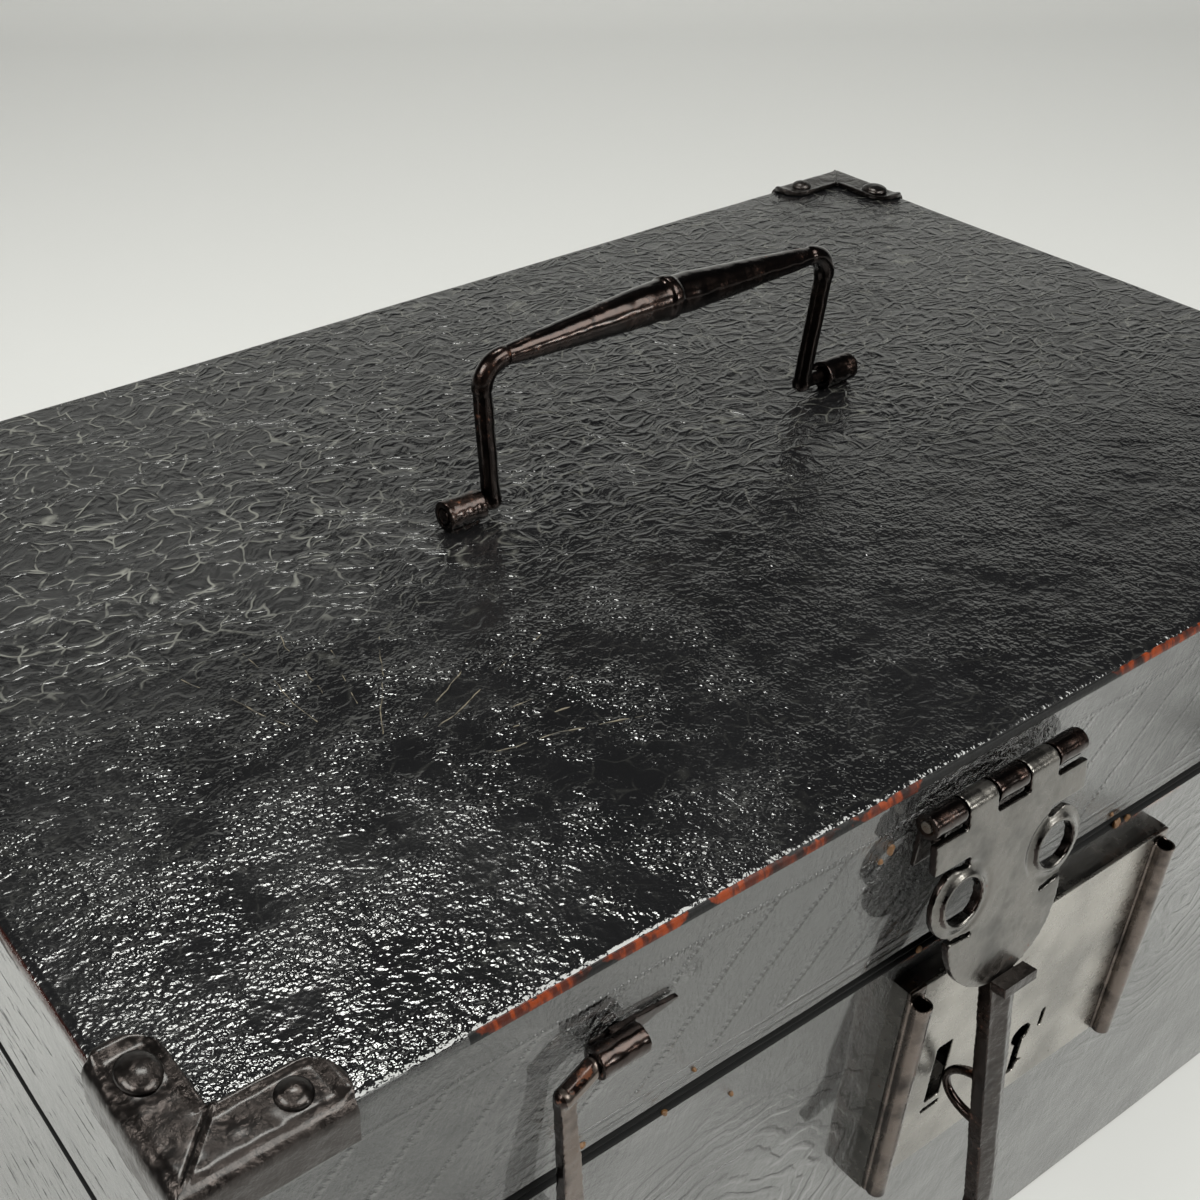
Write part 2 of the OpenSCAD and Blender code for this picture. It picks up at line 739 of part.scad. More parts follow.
// One side of the handle: pin, foot, leg, bend and half of the grip
module handle_side() {
    bend = bend_r + grip_end_r;
    leg_l = (handle_rise - bend - bend * sin(handle_lean)) / cos(handle_lean);
    bend_x = handle_half + leg_l * sin(handle_lean) - bend * cos(handle_lean);
    sag = atan(grip_arch / bend_x);
    translate([handle_half, 0, 0]) rotate([0, 90, 0]) cylinder(r = handle_pin_r, h = handle_pin_l);
    translate([handle_half, 0, 0]) sphere(leg_r * 1.14);
    translate([handle_half, 0, 0]) rotate([0, handle_lean, 0]) rotate([0, 0, 22.5])
        cylinder(r = leg_out_r, h = leg_l + 0.5, $fn = 8);
    translate([bend_x, 0, handle_rise - bend]) rotate([90, 0, 0]) rotate([0, 0, -handle_lean])
        rotate_extrude(angle = 90 + handle_lean) translate([bend, 0]) circle(grip_end_r);
    translate([0, 0, handle_rise + grip_arch]) rotate([0, sag, 0]) half_grip(bend_x / cos(sag) + 0.5);
}

module handle() {
    color(iron) translate([handle_x, handle_pivot_y, pivot_z]) {
        handle_side();
        mirror([1, 0, 0]) handle_side();
        translate([-collar_w / 2, 0, handle_rise + grip_arch]) rotate([0, 90, 0])
            cylinder(r = grip_mid_r + 0.5, h = collar_w);
    }
}

// Rolled strap with its shank through the lid and two tails clinched under the board
module handle_staple(side) {
    x0 = side > 0 ? staple_gap : -staple_gap - staple_l;
    color(iron) translate([staples_x, handle_pivot_y, 0]) difference() {
        union() {
            translate([x0, 0, pivot_z]) rotate([0, 90, 0]) cylinder(r = staple_r, h = staple_l);
            box([x0 + 1, -strap_t, under_top_z - eps], [x0 + staple_l - 1, strap_t, pivot_z]);
            box([x0 + 1, -strap_t - tail_l, under_top_z - strap_t],
                [x0 + staple_l - 1, strap_t + tail_l, under_top_z]);
        }
        translate([x0 - 1, 0, pivot_z]) rotate([0, 90, 0]) cylinder(r = handle_pin_r + pin_play, h = staple_l + 2);
    }
}

module handle_staple_left() { handle_staple(-1); }
module handle_staple_right() { handle_staple(1); }

// Barrel with a bore, along X from x0 to x1, about the hasp's pin
module hasp_knuckle(x0, x1) {
    translate([x0, hasp_y, hasp_z]) rotate([0, 90, 0]) cylinder(r = barrel_r, h = x1 - x0);
}

module hasp_fixed_leaf() {
    left = hasp_x - hasp_w / 2;
    color(iron) difference() {
        union() {
            box([left + 2, front_y - fixed_t, hasp_z - fixed_l],
                [left + hasp_w - 2, front_y, hasp_z - barrel_r - 1]);
            for (k = [0, 2, 4]) {
                x0 = left + k * knuckle_w + (k > 0 ? clear / 2 : 0);
                x1 = left + (k + 1) * knuckle_w - (k < 4 ? clear / 2 : 0);
                hasp_knuckle(x0, x1);
                box([max(x0, left + 2), front_y - fixed_t, hasp_z - barrel_r - 2],
                    [min(x1, left + hasp_w - 2), front_y, hasp_z]);
            }
        }
        translate([left - 1, hasp_y, hasp_z]) rotate([0, 90, 0]) cylinder(r = pin_r + fixed_play, h = hasp_w + 2);
        at_hasp_nails() nail_hole();
    }
}

module hasp_pin() {
    color(bright_iron) translate([hasp_x - hasp_w / 2, hasp_y, hasp_z]) rotate([0, 90, 0])
        cylinder(r = pin_r, h = hasp_w);
}

module hasp_nails() {
    color(iron) at_hasp_nails() nail(2.4, 0.9);
}

// Puts a piece drawn hanging straight down from the pin at its rest angle
module hasp_pose() {
    translate([hasp_x, hasp_y, hasp_z]) rotate([-hasp_lean, 0, 0]) children();
}

// Outline of the hanging leaf: x across, y measured upward from the pin
module leaf_outline() {
    half = hasp_w / 2;
    difference() {
        union() {
            translate([-half, -leaf_square]) square([hasp_w, leaf_square - barrel_r - 0.5]);
            for (side = [-1, 1]) translate([side * ear_span / 2, -ear_s]) circle(ear_r);
            translate([-ear_span / 2 + 2, -shield_s]) square([ear_span - 4, shield_s - leaf_square + 1]);
            translate([0, -shield_s]) circle(shield_r);
        }
        for (side = [-1, 1]) translate([side * ear_span / 2, -ear_s]) circle(ear_hole_r);
        for (side = [-1, 1]) {
            translate([side * (half - cut_l * 0.35), -leaf_square - cut_w]) rotate(side * 8)
                square([cut_l, cut_w], center = true);
            translate([side * (half - cut_l * 0.46), -ear_s - ear_r - cut_w / 2]) rotate(side * 8)
                square([cut_l, cut_w], center = true);
        }
    }
}

module hasp_leaf() {
    color(iron) hasp_pose() difference() {
        union() {
            translate([0, leaf_t - barrel_r, 0]) rotate([90, 0, 0]) linear_extrude(leaf_t) leaf_outline();
            for (k = [1, 3]) {
                x0 = -hasp_w / 2 + k * knuckle_w + clear / 2;
                x1 = -hasp_w / 2 + (k + 1) * knuckle_w - clear / 2;
                translate([x0, 0, 0]) rotate([0, 90, 0]) cylinder(r = barrel_r, h = x1 - x0);
                box([x0, -barrel_r, -barrel_r - 1.5], [x1, leaf_t - barrel_r, 0]);
            }
        }
        translate([-hasp_w / 2 - 1, 0, 0]) rotate([0, 90, 0]) cylinder(r = pin_r + turn_play, h = hasp_w + 2);
    }
}

// Forged lug and the tapered bar behind it: a tongue at its top lies on the back of the leaf
module hasp_bar() {
    lug_s = shield_s + shield_r;
    front = -barrel_r;
    color(iron) hasp_pose() translate([bar_x, 0, 0]) {
        translate([-lug_w / 2, front - lug_reach, -lug_s - lug_t / 2]) cube([lug_w, lug_reach, lug_t]);
        translate([-bar_w / 2, front + leaf_t, -lug_s - 1]) cube([bar_w, bar_t - leaf_t, tongue_l + 1]);
        translate([0, front + bar_t, 0]) rotate([90, 0, 0]) linear_extrude(bar_t) {
            polygon([[-bar_w / 2, -lug_s], [bar_w / 2, -lug_s],
                [bar_low_w / 2, -flare_s], [bar_end_w / 2, -bar_s + 2], [bar_end_w / 2 - 2, -bar_s],
                [2 - bar_end_w / 2, -bar_s], [-bar_end_w / 2, -bar_s + 2], [-bar_low_w / 2, -flare_s]]);
        }
    }
}

// Staple forged on the back of the bar, which the bolt passes through
module hasp_loop() {
    round_r = loop_h * 0.3;
    color(iron) hasp_pose() translate([bar_x - loop_t / 2, bar_t - barrel_r, -loop_s]) rotate([90, 0, 90])
        linear_extrude(loop_t) difference() {
            round_rect(2 * loop_reach, loop_h, round_r);
            translate([-loop_reach - 1, -loop_h]) square([loop_reach + 1, 2 * loop_h]);
            round_rect(2 * (loop_reach - loop_rim), loop_h - 2 * loop_rim, round_r - loop_rim / 2);
        }
}

// Rolled strap on the front of the lid with a pointed tang beside it
module latch_staple(side) {
    tang_x = latch_x - latch_l / 2 - tang_l;
    color(iron) scale([side, 1, 1]) difference() {
        union() {
            translate([latch_x - latch_l / 2, latch_y, latch_z]) rotate([0, 90, 0]) cylinder(r = latch_r, h = latch_l);
            box([latch_x - latch_l / 2 + 1.5, latch_y, latch_z - strap_t],
                [latch_x + latch_l / 2 - 1.5, front_y + hide_t + lid_board_t + eps, latch_z + strap_t]);
            box([latch_x - latch_l / 2 + 1.5, front_y + hide_t + lid_board_t, latch_z - clinch_l],
                [latch_x + latch_l / 2 - 1.5, front_y + hide_t + lid_board_t + strap_t, latch_z + clinch_l]);
            translate([0, front_y, latch_z]) rotate([90, 0, 0]) linear_extrude(strap_t)
                polygon([[latch_x, latch_r * 0.9], [tang_x, latch_r * 0.55],
                    [tang_x, latch_r * 0.3], [latch_x, -latch_r * 0.9]]);
        }
        translate([latch_x - latch_l / 2 - 1, latch_y, latch_z]) rotate([0, 90, 0])
            cylinder(r = latch_pin_r + pin_play, h = latch_l + 2);
    }
}

module latch_staple_left() { latch_staple(-1); }
module latch_staple_right() { latch_staple(1); }

// Latch: pin in the barrel, short arm, leg that widens downward, eye plate
module latch(side) {
    arm = arm_l + 0.5;
    color(iron) scale([side, 1, 1]) translate([leg_x, latch_y, latch_z]) rotate([-latch_lean, 0, 0]) {
        translate([-arm - latch_l + 1, 0, 0]) rotate([0, 90, 0]) cylinder(r = latch_pin_r, h = arm + latch_l - 1);
        translate([-arm_l + clear, 0, 0]) rotate([0, 90, 0]) rotate([0, 0, 22.5])
            cylinder(r = latch_leg_r * 1.05, h = arm_l - clear, $fn = 8);
        sphere(latch_leg_r * 1.02);
        translate([0, eye_t / 2, 0]) rotate([90, 0, 0]) linear_extrude(eye_t) difference() {
            union() {
                polygon([[-latch_leg_r * 0.9, 0], [latch_leg_r * 0.9, 0],
                    [latch_low_w / 2, -latch_s + 2], [-latch_low_w / 2, -latch_s + 2]]);
                translate([0, -latch_s]) circle(eye_r);
            }
            translate([0, -latch_s]) circle(eye_hole_r);
        }
    }
}

module latch_left() { latch(-1); }
module latch_right() { latch(1); }

body_floor();
body_front();
body_back();
body_left();
body_right();
body_hide();
inner_lip();
lock_case();
lock_plate();
lock_bolt();
bolt_guides();
lock_spring();
lock_nails();
latch_catches();
hinge_body_leaves();
hinge_pins();
hinge_nails_body();
lid_top();
lid_front();
lid_back();
lid_left();
lid_right();
lid_hide();
corner_front_left();
corner_front_right();
corner_back_left();
corner_back_right();
corner_nails();
handle();
handle_staple_left();
handle_staple_right();
hasp_fixed_leaf();
hasp_pin();
hasp_nails();
hasp_leaf();
hasp_bar();
hasp_loop();
latch_staple_left();
latch_staple_right();
latch_left();
latch_right();
hinge_lid_leaves();
hinge_nails_lid();
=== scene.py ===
"""Messenger case: a lacquered hide-covered travelling box with iron fittings.

Sizes in the modelling code are millimetres in the part's own frame: +X right, -Y front, +Z up,
origin in the middle of the underside. Meshes are pairs (points in mm, faces) until piece() makes
them objects in metres.
"""

import math
from functools import partial

import bpy
import numpy as np
from bpy.props import FloatProperty, FloatVectorProperty, PointerProperty
from mathutils import Matrix, Vector


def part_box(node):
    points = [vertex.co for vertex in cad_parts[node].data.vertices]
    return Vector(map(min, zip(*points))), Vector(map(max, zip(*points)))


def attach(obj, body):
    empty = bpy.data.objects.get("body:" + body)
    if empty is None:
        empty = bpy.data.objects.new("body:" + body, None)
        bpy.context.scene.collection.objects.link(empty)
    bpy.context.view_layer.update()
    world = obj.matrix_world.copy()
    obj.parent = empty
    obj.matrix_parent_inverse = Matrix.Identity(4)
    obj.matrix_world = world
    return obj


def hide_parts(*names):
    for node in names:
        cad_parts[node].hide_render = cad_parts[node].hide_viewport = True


bl_info = {
    "name": "Messenger Case",
    "version": (1, 0, 0),
    "blender": (4, 5, 0),
    "location": "3D View > Sidebar > Messenger Case",
    "description": "Dresses the solids of a travelling box: lacquered hide, forged iron, stage",
    "category": "Object",
}

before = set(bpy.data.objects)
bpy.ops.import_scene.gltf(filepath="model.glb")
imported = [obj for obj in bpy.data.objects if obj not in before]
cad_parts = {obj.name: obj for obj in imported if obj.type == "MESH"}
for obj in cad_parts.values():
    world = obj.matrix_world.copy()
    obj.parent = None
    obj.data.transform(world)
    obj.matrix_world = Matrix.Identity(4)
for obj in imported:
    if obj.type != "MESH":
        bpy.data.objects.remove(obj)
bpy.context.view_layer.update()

MM = 0.001
TURN = 2 * math.pi


def solid_box(node):
    """Lowest and highest corner of a solid, in millimetres."""
    low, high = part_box(node)
    return np.array(low) / MM, np.array(high) / MM


LID_LOW, LID_HIGH = solid_box("lid_hide")
BODY_LOW, BODY_HIGH = solid_box("body_hide")
LOCK_LOW, LOCK_HIGH = solid_box("lock_case")
HALF_W, HALF_D, TOP = [float(v) for v in LID_HIGH]
SEAM = float(LID_LOW[2] + BODY_HIGH[2]) / 2
SIDES = ("left", "right")


# Properties


def linear(text):
    """Linear RGB of an sRGB hex colour."""
    parts = [int(text[i:i + 2], 16) / 255 for i in (1, 3, 5)]
    return tuple(c / 12.92 if c <= 0.04045 else ((c + 0.055) / 1.055) ** 2.4 for c in parts)


def shaded(colour, share):
    """A colour with a share of its light."""
    return [share * c for c in colour]


def length(title, about, value):
    """A property that holds a length, from its value in millimetres."""
    return FloatProperty(name=title, description=about, default=value * MM, unit="LENGTH", precision=5)


def colour(title, about, text):
    """A property that holds a colour, from its sRGB hex value."""
    return FloatVectorProperty(name=title, description=about, default=linear(text), subtype="COLOR",
                               min=0, max=1)


class CaseSizes(bpy.types.PropertyGroup):
    """Sizes of the finish and of the details that the solids leave out."""

    arris: length("Arris", "Radius of the rounded arrises of the covering", 2.6)
    hide: length("Hide", "Thickness of the hide where its edge shows", 1.2)
    crackle: length("Crackle", "Width of a cell in the crackled lacquer", 4.8)
    pebble: length("Pebble", "Width of the fine pebbles in the lacquer near the front", 1.35)
    line_pitch: length("Tooled lines", "Distance between the diagonal lines on the lid's front", 13.6)
    bead_pitch: length("Beads", "Distance between the beads of those lines", 1.6)
    nail_radius: length("Nail heads", "Radius of the dome nails of the corner irons", 3.2)
    nail_height: length("Nail height", "Height of the dome nails", 1.7)
    voxel: length("Forging detail", "Grain of the skins of the forged pieces", 0.32)


class CaseColours(bpy.types.PropertyGroup):
    """Colours of the materials."""

    lacquer: colour("Lacquer", "Black lacquer", "#0f0f10")
    worn: colour("Worn lacquer", "Where the black is rubbed to the red-brown coat", "#42170a")
    bare: colour("Bare lacquer", "Where the coat is rubbed thinnest", "#7c3009")
    # Pale colour of the lips: partly rubbed grey lacquer, partly a painted highlight along the ridges
    rubbed: colour("Rubbed lips", "Lips of the crackled lacquer, rubbed grey", "#7b7b74")
    resin: colour("Crumbs", "Crumbs of old glue by the joint line", "#7d5730")
    iron_dark: colour("Dark iron", "Patinated wrought iron", "#2e231f")
    iron_corner: colour("Corner iron", "Hammered sheet of the corner irons", "#3b3634")
    iron_grey: colour("Grey iron", "Rubbed wrought iron", "#6b6864")
    iron_brown: colour("Brown iron", "Browned wrought iron", "#665c56")
    crack: colour("Cracks", "Edges of the drying cracks", "#6f6757")
    rust: colour("Rust", "Rust in the hollows", "#5a3018")
    polished: colour("Polished iron", "Burnished lock plate", "#aba7a1")
    board: colour("Board", "Bare softwood inside", "#9a7448")
    floor: colour("Floor", "Plain pale floor and backdrop", "#dadad9")


# Meshes


def skin(rings):
    """Quads over rings of equal numbers of points, with a cap at both ends."""
    rings = np.asarray(rings, float)
    count, around = rings.shape[:2]
    faces = [tuple(range(around))[::-1], tuple(range((count - 1) * around, count * around))]
    for low in range(0, (count - 1) * around, around):
        for j in range(around):
            k = (j + 1) % around
            faces.append((low + j, low + k, low + around + k, low + around + j))
    return rings.reshape(-1, 3), faces


def placed(mesh, matrix):
    """The mesh moved by a 4x4 matrix in millimetres."""
    return mesh[0] @ np.array(matrix.to_3x3()).T + np.array(matrix.translation), mesh[1]


def joined(*meshes):
    """Several meshes as one."""
    points, faces, start = [], [], 0
    for some, more in meshes:
        points.append(some)
        faces += [tuple(start + i for i in face) for face in more]
        start += len(some)
    return np.concatenate(points), faces


def ring(radius, count=40, square=2.0):
    """Points round a superellipse: square 2 is a circle, 4 a square with soft corners."""
    angle = (np.arange(count) + 0.5) / count * TURN
    c, s = np.cos(angle), np.sin(angle)
    power = 2 / square
    return radius * np.stack([np.sign(c) * np.abs(c) ** power, np.sign(s) * np.abs(s) ** power], 1)


def swept(path, sections, normal):
    """Sections along a flat path. The first axis of a section is the normal of the path's plane."""
    path, normal = np.asarray(path, float), np.asarray(normal, float)
    along = np.gradient(path, axis=0)
    along /= np.linalg.norm(along, axis=1)[:, None]
    return skin([point + section[:, :1] * normal + section[:, 1:] * np.cross(direction, normal)
                 for point, direction, section in zip(path, along, sections)])


def turned(profile, around=40):
    """Solid of revolution about Z from (radius, height) pairs."""
    unit = ring(1, around)
    return skin([np.column_stack([unit * max(r, 0.01), np.full(around, h)]) for r, h in profile])


def harvested(thing):
    """Points and faces of an object with its modifiers, after which the object is gone."""
    bpy.context.collection.objects.link(thing)
    mesh = bpy.data.meshes.new_from_object(thing.evaluated_get(bpy.context.evaluated_depsgraph_get()))
    points = np.empty(len(mesh.vertices) * 3)
    mesh.vertices.foreach_get("co", points)
    faces = [tuple(p.vertices) for p in mesh.polygons]
    data = thing.data
    bpy.data.objects.remove(thing)
    bpy.data.meshes.remove(mesh)
    bpy.data.meshes.remove(data)
    return points.reshape(-1, 3), faces


# Large primes that scatter the places of the noise
SCATTER = np.array((374761393, 668265263, 1274126177))


def wobble(points, size, seed):
    """Smooth noise from -1 to 1 with bumps about size across. The same seed gives the same noise."""
    q = np.asarray(points) / size + seed * 17.31
    cell = np.floor(q).astype(np.int64)
    f = q - cell
    f = f * f * (3 - 2 * f)
    total = 0
    for corner in np.ndindex(2, 2, 2):
        h = (cell + corner) @ SCATTER & 0x7FFFFFFF
        h = ((h ^ (h >> 13)) * 1103515245) & 0x7FFFFFFF
        h = ((h ^ (h >> 16)) & 0xFFFF) / 32767.5 - 1
        total = total + np.prod(np.where(corner, f, 1 - f), axis=1) * h
    return total


def wrought(mesh, voxel, rounds=3):
    """One closed skin over joined solids, its edges softened as forging and wear leave them."""
    data = bpy.data.meshes.new("clay")
    data.from_pydata(mesh[0].tolist(), [], mesh[1])
    thing = bpy.data.objects.new("clay", data)
    remesh = thing.modifiers.new("one skin", "REMESH")
    remesh.mode, remesh.voxel_size = "VOXEL", voxel
    smooth = thing.modifiers.new("worn", "SMOOTH")
    smooth.factor, smooth.iterations = 0.5, rounds
    return harvested(thing)


def solid_mesh(node):
    """Points and faces of one of the solids, as a start for its forged form."""
    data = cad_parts[node].data
    points = np.empty(len(data.vertices) * 3)
    data.vertices.foreach_get("co", points)
    return points.reshape(-1, 3) / MM, [tuple(p.vertices) for p in data.polygons]


def dented(mesh, dents):
    """Presses noise into a mesh along its normals. dents are (bump width, depth, seed)."""
    data = bpy.data.meshes.new("dents")
    data.from_pydata(mesh[0].tolist(), [], mesh[1])
    normals = np.empty(len(data.vertices) * 3)
    data.vertices.foreach_get("normal", normals)
    bpy.data.meshes.remove(data)
    move = sum(depth * (wobble(mesh[0], size, seed) - 1) / 2 for size, depth, seed in dents)
    return mesh[0] + normals.reshape(-1, 3) * move[:, None], mesh[1]


def piece(name, mesh, body, materials, replaces=(), kinds=None):
    """Makes a shown object from a mesh in mm, riding on a body. kinds says which of the materials each
    face has, the first where there are none."""
    data = bpy.data.meshes.new(name)
    data.from_pydata((mesh[0] * MM).tolist(), [], [tuple(f) for f in mesh[1]])
    data.polygons.foreach_set("use_smooth", [True] * len(data.polygons))
    for material in materials:
        data.materials.append(stock(material))
    if kinds is not None:
        data.polygons.foreach_set("material_index", kinds)
    data.set_sharp_from_angle(angle=math.radians(40))
    thing = bpy.data.objects.new(name, data)
    bpy.context.collection.objects.link(thing)
    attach(thing, body)
    if replaces:
        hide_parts(*replaces)


# Materials

# Middles of the growth rings that print through the hide on the front, and how far apart they stand
RING_CENTRES = ((96.0, -125.0, 104.0), (-78.0, -125.0, 96.0))
RING_PITCH = 5.0
# Crumpled places on the lid's front: middle x and z, half width and half height
GRIME = ((-17.0, 190.0, 34.0, 25.0), (-122.0, 190.0, 15.0, 12.0), (122.0, 190.0, 15.0, 12.0),
         (-134.0, 176.0, 7.0, 22.0), (134.0, 176.0, 7.0, 22.0))
# Stretches of the lid's front arris, along X, where the lacquer is rubbed through, and how far below the
# top this strip fades in and out
WORN_STRETCHES = ((-146.0, -119.0), (-118.0, -97.0), (-94.5, -60.0), (-57.5, -36.0), (22.0, 96.0))
WORN_TOP, WORN_FOOT = (0.7, 0.9), (3.0, 2.7)
# The same on the body's rim: middle x and half width of the spots
RIM_SPOTS = ((-20.0, 11.0), (57.0, 13.0))
# How far in from the outside, and up and down from the joint line, the boards are painted dark as shade in
# the joint gap
SHADED_IN, SHADED_UP = 8.0, 4.5
# Slope of the diagonal lines, and the shift that brings them where they lie in the photograph
LINE_SLOPE, LINE_START = math.radians(46), 181.9

# Kinds of nodes: type, settings, the inputs in the order that they are given with what they hold if
# they aren't, and the output that is used. A drift is noise that points in three directions.
KINDS = {name: ("ShaderNodeMath", {"operation": operation}, {0: None, 1: None, 2: None}, 0)
         for name, operation in (("plus", "ADD"), ("minus", "SUBTRACT"), ("times", "MULTIPLY"),
                                 ("times_plus", "MULTIPLY_ADD"), ("lower", "MINIMUM"),
                                 ("higher", "MAXIMUM"), ("unsigned", "ABSOLUTE"), ("sine", "SINE"),
                                 ("folded", "PINGPONG"), ("near", "COMPARE"), ("under", "LESS_THAN"))}
KINDS |= {name: ("ShaderNodeVectorMath", {"operation": operation}, inputs, out)
          for name, operation, inputs, out in (("vector_plus", "ADD", {0: None, 1: None}, 0),
                                               ("vector_minus", "SUBTRACT", {0: None, 1: None}, 0),
                                               ("vector_times", "MULTIPLY", {0: None, 1: None}, 0),
                                               ("scaled", "SCALE", {0: None, 3: None}, 0),
                                               ("length", "LENGTH", {0: None}, 1))}
KINDS |= {
    "own_place": ("ShaderNodeTexCoord", {}, {}, 3),
    "split": ("ShaderNodeSeparateXYZ", {}, {0: None}, 0),
    "mapped": ("ShaderNodeMapping", {}, {"Vector": None, "Scale": (1, 1, 1), "Rotation": (0, 0, 0)}, 0),
    "ramp": ("ShaderNodeMapRange", {"interpolation_type": "SMOOTHSTEP"},
             {"Value": None, "From Min": 0, "From Max": 1, "To Min": 0, "To Max": 1}, 0),
    "blend": ("ShaderNodeMix", {"data_type": "RGBA"}, {0: None, 6: None, 7: None}, 2),
    "noise": ("ShaderNodeTexNoise", {}, {"Vector": None, "Scale": 1, "Detail": 3, "Roughness": 0.55}, 0),
    "drift": ("ShaderNodeTexNoise", {}, {"Vector": None, "Scale": 1, "Detail": 3, "Roughness": 0.55}, 1),
    "cells": ("ShaderNodeTexVoronoi", {}, {"Vector": None, "Scale": 1, "Randomness": 1}, 0),
    "cell_edges": ("ShaderNodeTexVoronoi", {"feature": "DISTANCE_TO_EDGE"},
                   {"Vector": None, "Scale": 1}, 0),
    "rings": ("ShaderNodeTexWave", {"wave_type": "RINGS"},
              {"Vector": None, "Scale": 1, "Distortion": 4, "Detail": 3}, 0),
    "bump": ("ShaderNodeBump", {}, {"Height": None, "Distance": MM, "Strength": 1}, 0),
}


def fill(node, values):
    """Gives inputs of a node, by name or number, their links, numbers or colours."""
    for key, value in values.items():
        socket = node.inputs[key]
        if isinstance(value, bpy.types.NodeSocket):
            node.id_data.links.new(value, socket)
        elif value is not None:
            socket.default_value = (*value, 1) if socket.type == "RGBA" else value


def add_node(tree, kind, *values):
    """Adds a node of one of the kinds with its settings and links, and returns its output."""
    made_as, settings, inputs, out = KINDS[kind]
    made = tree.nodes.new(made_as)
    for name, value in settings.items():
        setattr(made, name, value)
    fill(made, {**inputs, **dict(zip(inputs, values))})
    return made.outputs[out]


def start_material(name):
    """New material, what adds nodes to it, its surface shader, its place in millimetres, and x, y, z."""
    material = bpy.data.materials.new(name)
    material.use_nodes = True
    tree = material.node_tree
    surface = next(n for n in tree.nodes if n.type == "BSDF_PRINCIPLED")
    add = partial(add_node, tree)
    place = add("scaled", add("own_place"), 1 / MM)
    return material, add, surface, place, list(add("split", place).node.outputs)


def worn_tone(add, place, colours):
    """Red-brown undercoat with darker and barer streaks across the arris."""
    streaks = add("mapped", place, (1.0, 0.35, 0.35))
    barer = add("ramp", add("noise", streaks, 1 / 1.6, 4.0), 0.42, 0.62)
    redder = add("ramp", add("noise", streaks, 1 / 5.0), 0.36, 0.5)
    return add("blend", redder, shaded(colours.worn, 0.2), add("blend", barer, colours.worn, colours.bare))


def worn_lacquer(colours):
    """Undercoat laid bare along the front arris: dry red-brown, matt, under the last black scraps."""
    material, add, surface, place, (x, _, z) = start_material("rubbed_undercoat")
    ragged = add("times_plus", add("noise", place, 1 / 2.2, 4.0), 1.6, -0.8)
    below = add("plus", add("minus", TOP, z), ragged)
    slant = add("times_plus", below, 1.6, add("times", ragged, 3.0))
    shown = None
    for start, end in WORN_STRETCHES:
        away = add("unsigned", add("minus", x, (start + end) / 2))
        reach = (end - start) / 2
        window = add("ramp", add("plus", away, slant), reach, reach + 1.0, 1.0, 0.0)
        shown = window if shown is None else add("higher", shown, window)
    band = add("times", add("ramp", below, *WORN_TOP), add("ramp", below, *WORN_FOOT))
    band = add("times", band, shown)
    tone = add("blend", band, colours.lacquer, worn_tone(add, place, colours))
    relief = add("bump", add("noise", place, 1 / 1.2), 0.15 * MM)
    fill(surface, {"Base Color": tone, "Roughness": 0.42, "Normal": relief, "IOR": 1.3})
    return material


def cut_hide(colours):
    """Cut edge of the hide at the joint line: matt, and darker than the lacquer as painted shade in the
    joint gap, so it gives back almost nothing.
    """
    material, add, surface, place, _ = start_material("cut_hide")
    relief = add("bump", add("noise", place, 1.0), 0.1 * MM)
    # Half the lacquer's colour: painted shade at the joint
    fill(surface, {"Base Color": shaded(colours.lacquer, 0.5), "Roughness": 0.75, "Normal": relief,
                   "IOR": 1.35})
    return material


def lacquer_tone(add, place, xyz, colours):
    """Black lacquer, rubbed through along the lid's left arris and the body's rim."""
    x, y, z = xyz
    ragged = add("times_plus", add("noise", place, 1 / 3.0), 1.0, -0.5)
    below = add("plus", add("minus", TOP, z), ragged)
    left = add("times", add("ramp", below, 0.4, 0.75), add("ramp", below, 1.8, 2.2, 1.0, 0.0))
    left = add("times", left, add("ramp", add("plus", x, HALF_W), 0.9, 1.3, 1.0, 0.0))
    left = add("times", left, add("ramp", y, 70.0, 30.0))
    rim = add("plus", add("minus", float(BODY_HIGH[2]), z), ragged)
    spots = add("higher", *(add("near", x, *spot) for spot in RIM_SPOTS))
    spots = add("times", spots, add("ramp", y, -118.0, -122.0))
    spots = add("times", spots, add("under", z, SEAM))
    rim = add("times", add("ramp", rim, 1.2, 2.0, 1.0, 0.0), spots)
    red = worn_tone(add, place, colours)
    black = add("blend", add("noise", place, 1 / 45.0), colours.lacquer, shaded(colours.lacquer, 1.7))
    shade = add("blend", rim, black, red)
    return add("blend", left, shade, shaded(colours.worn, 0.5))


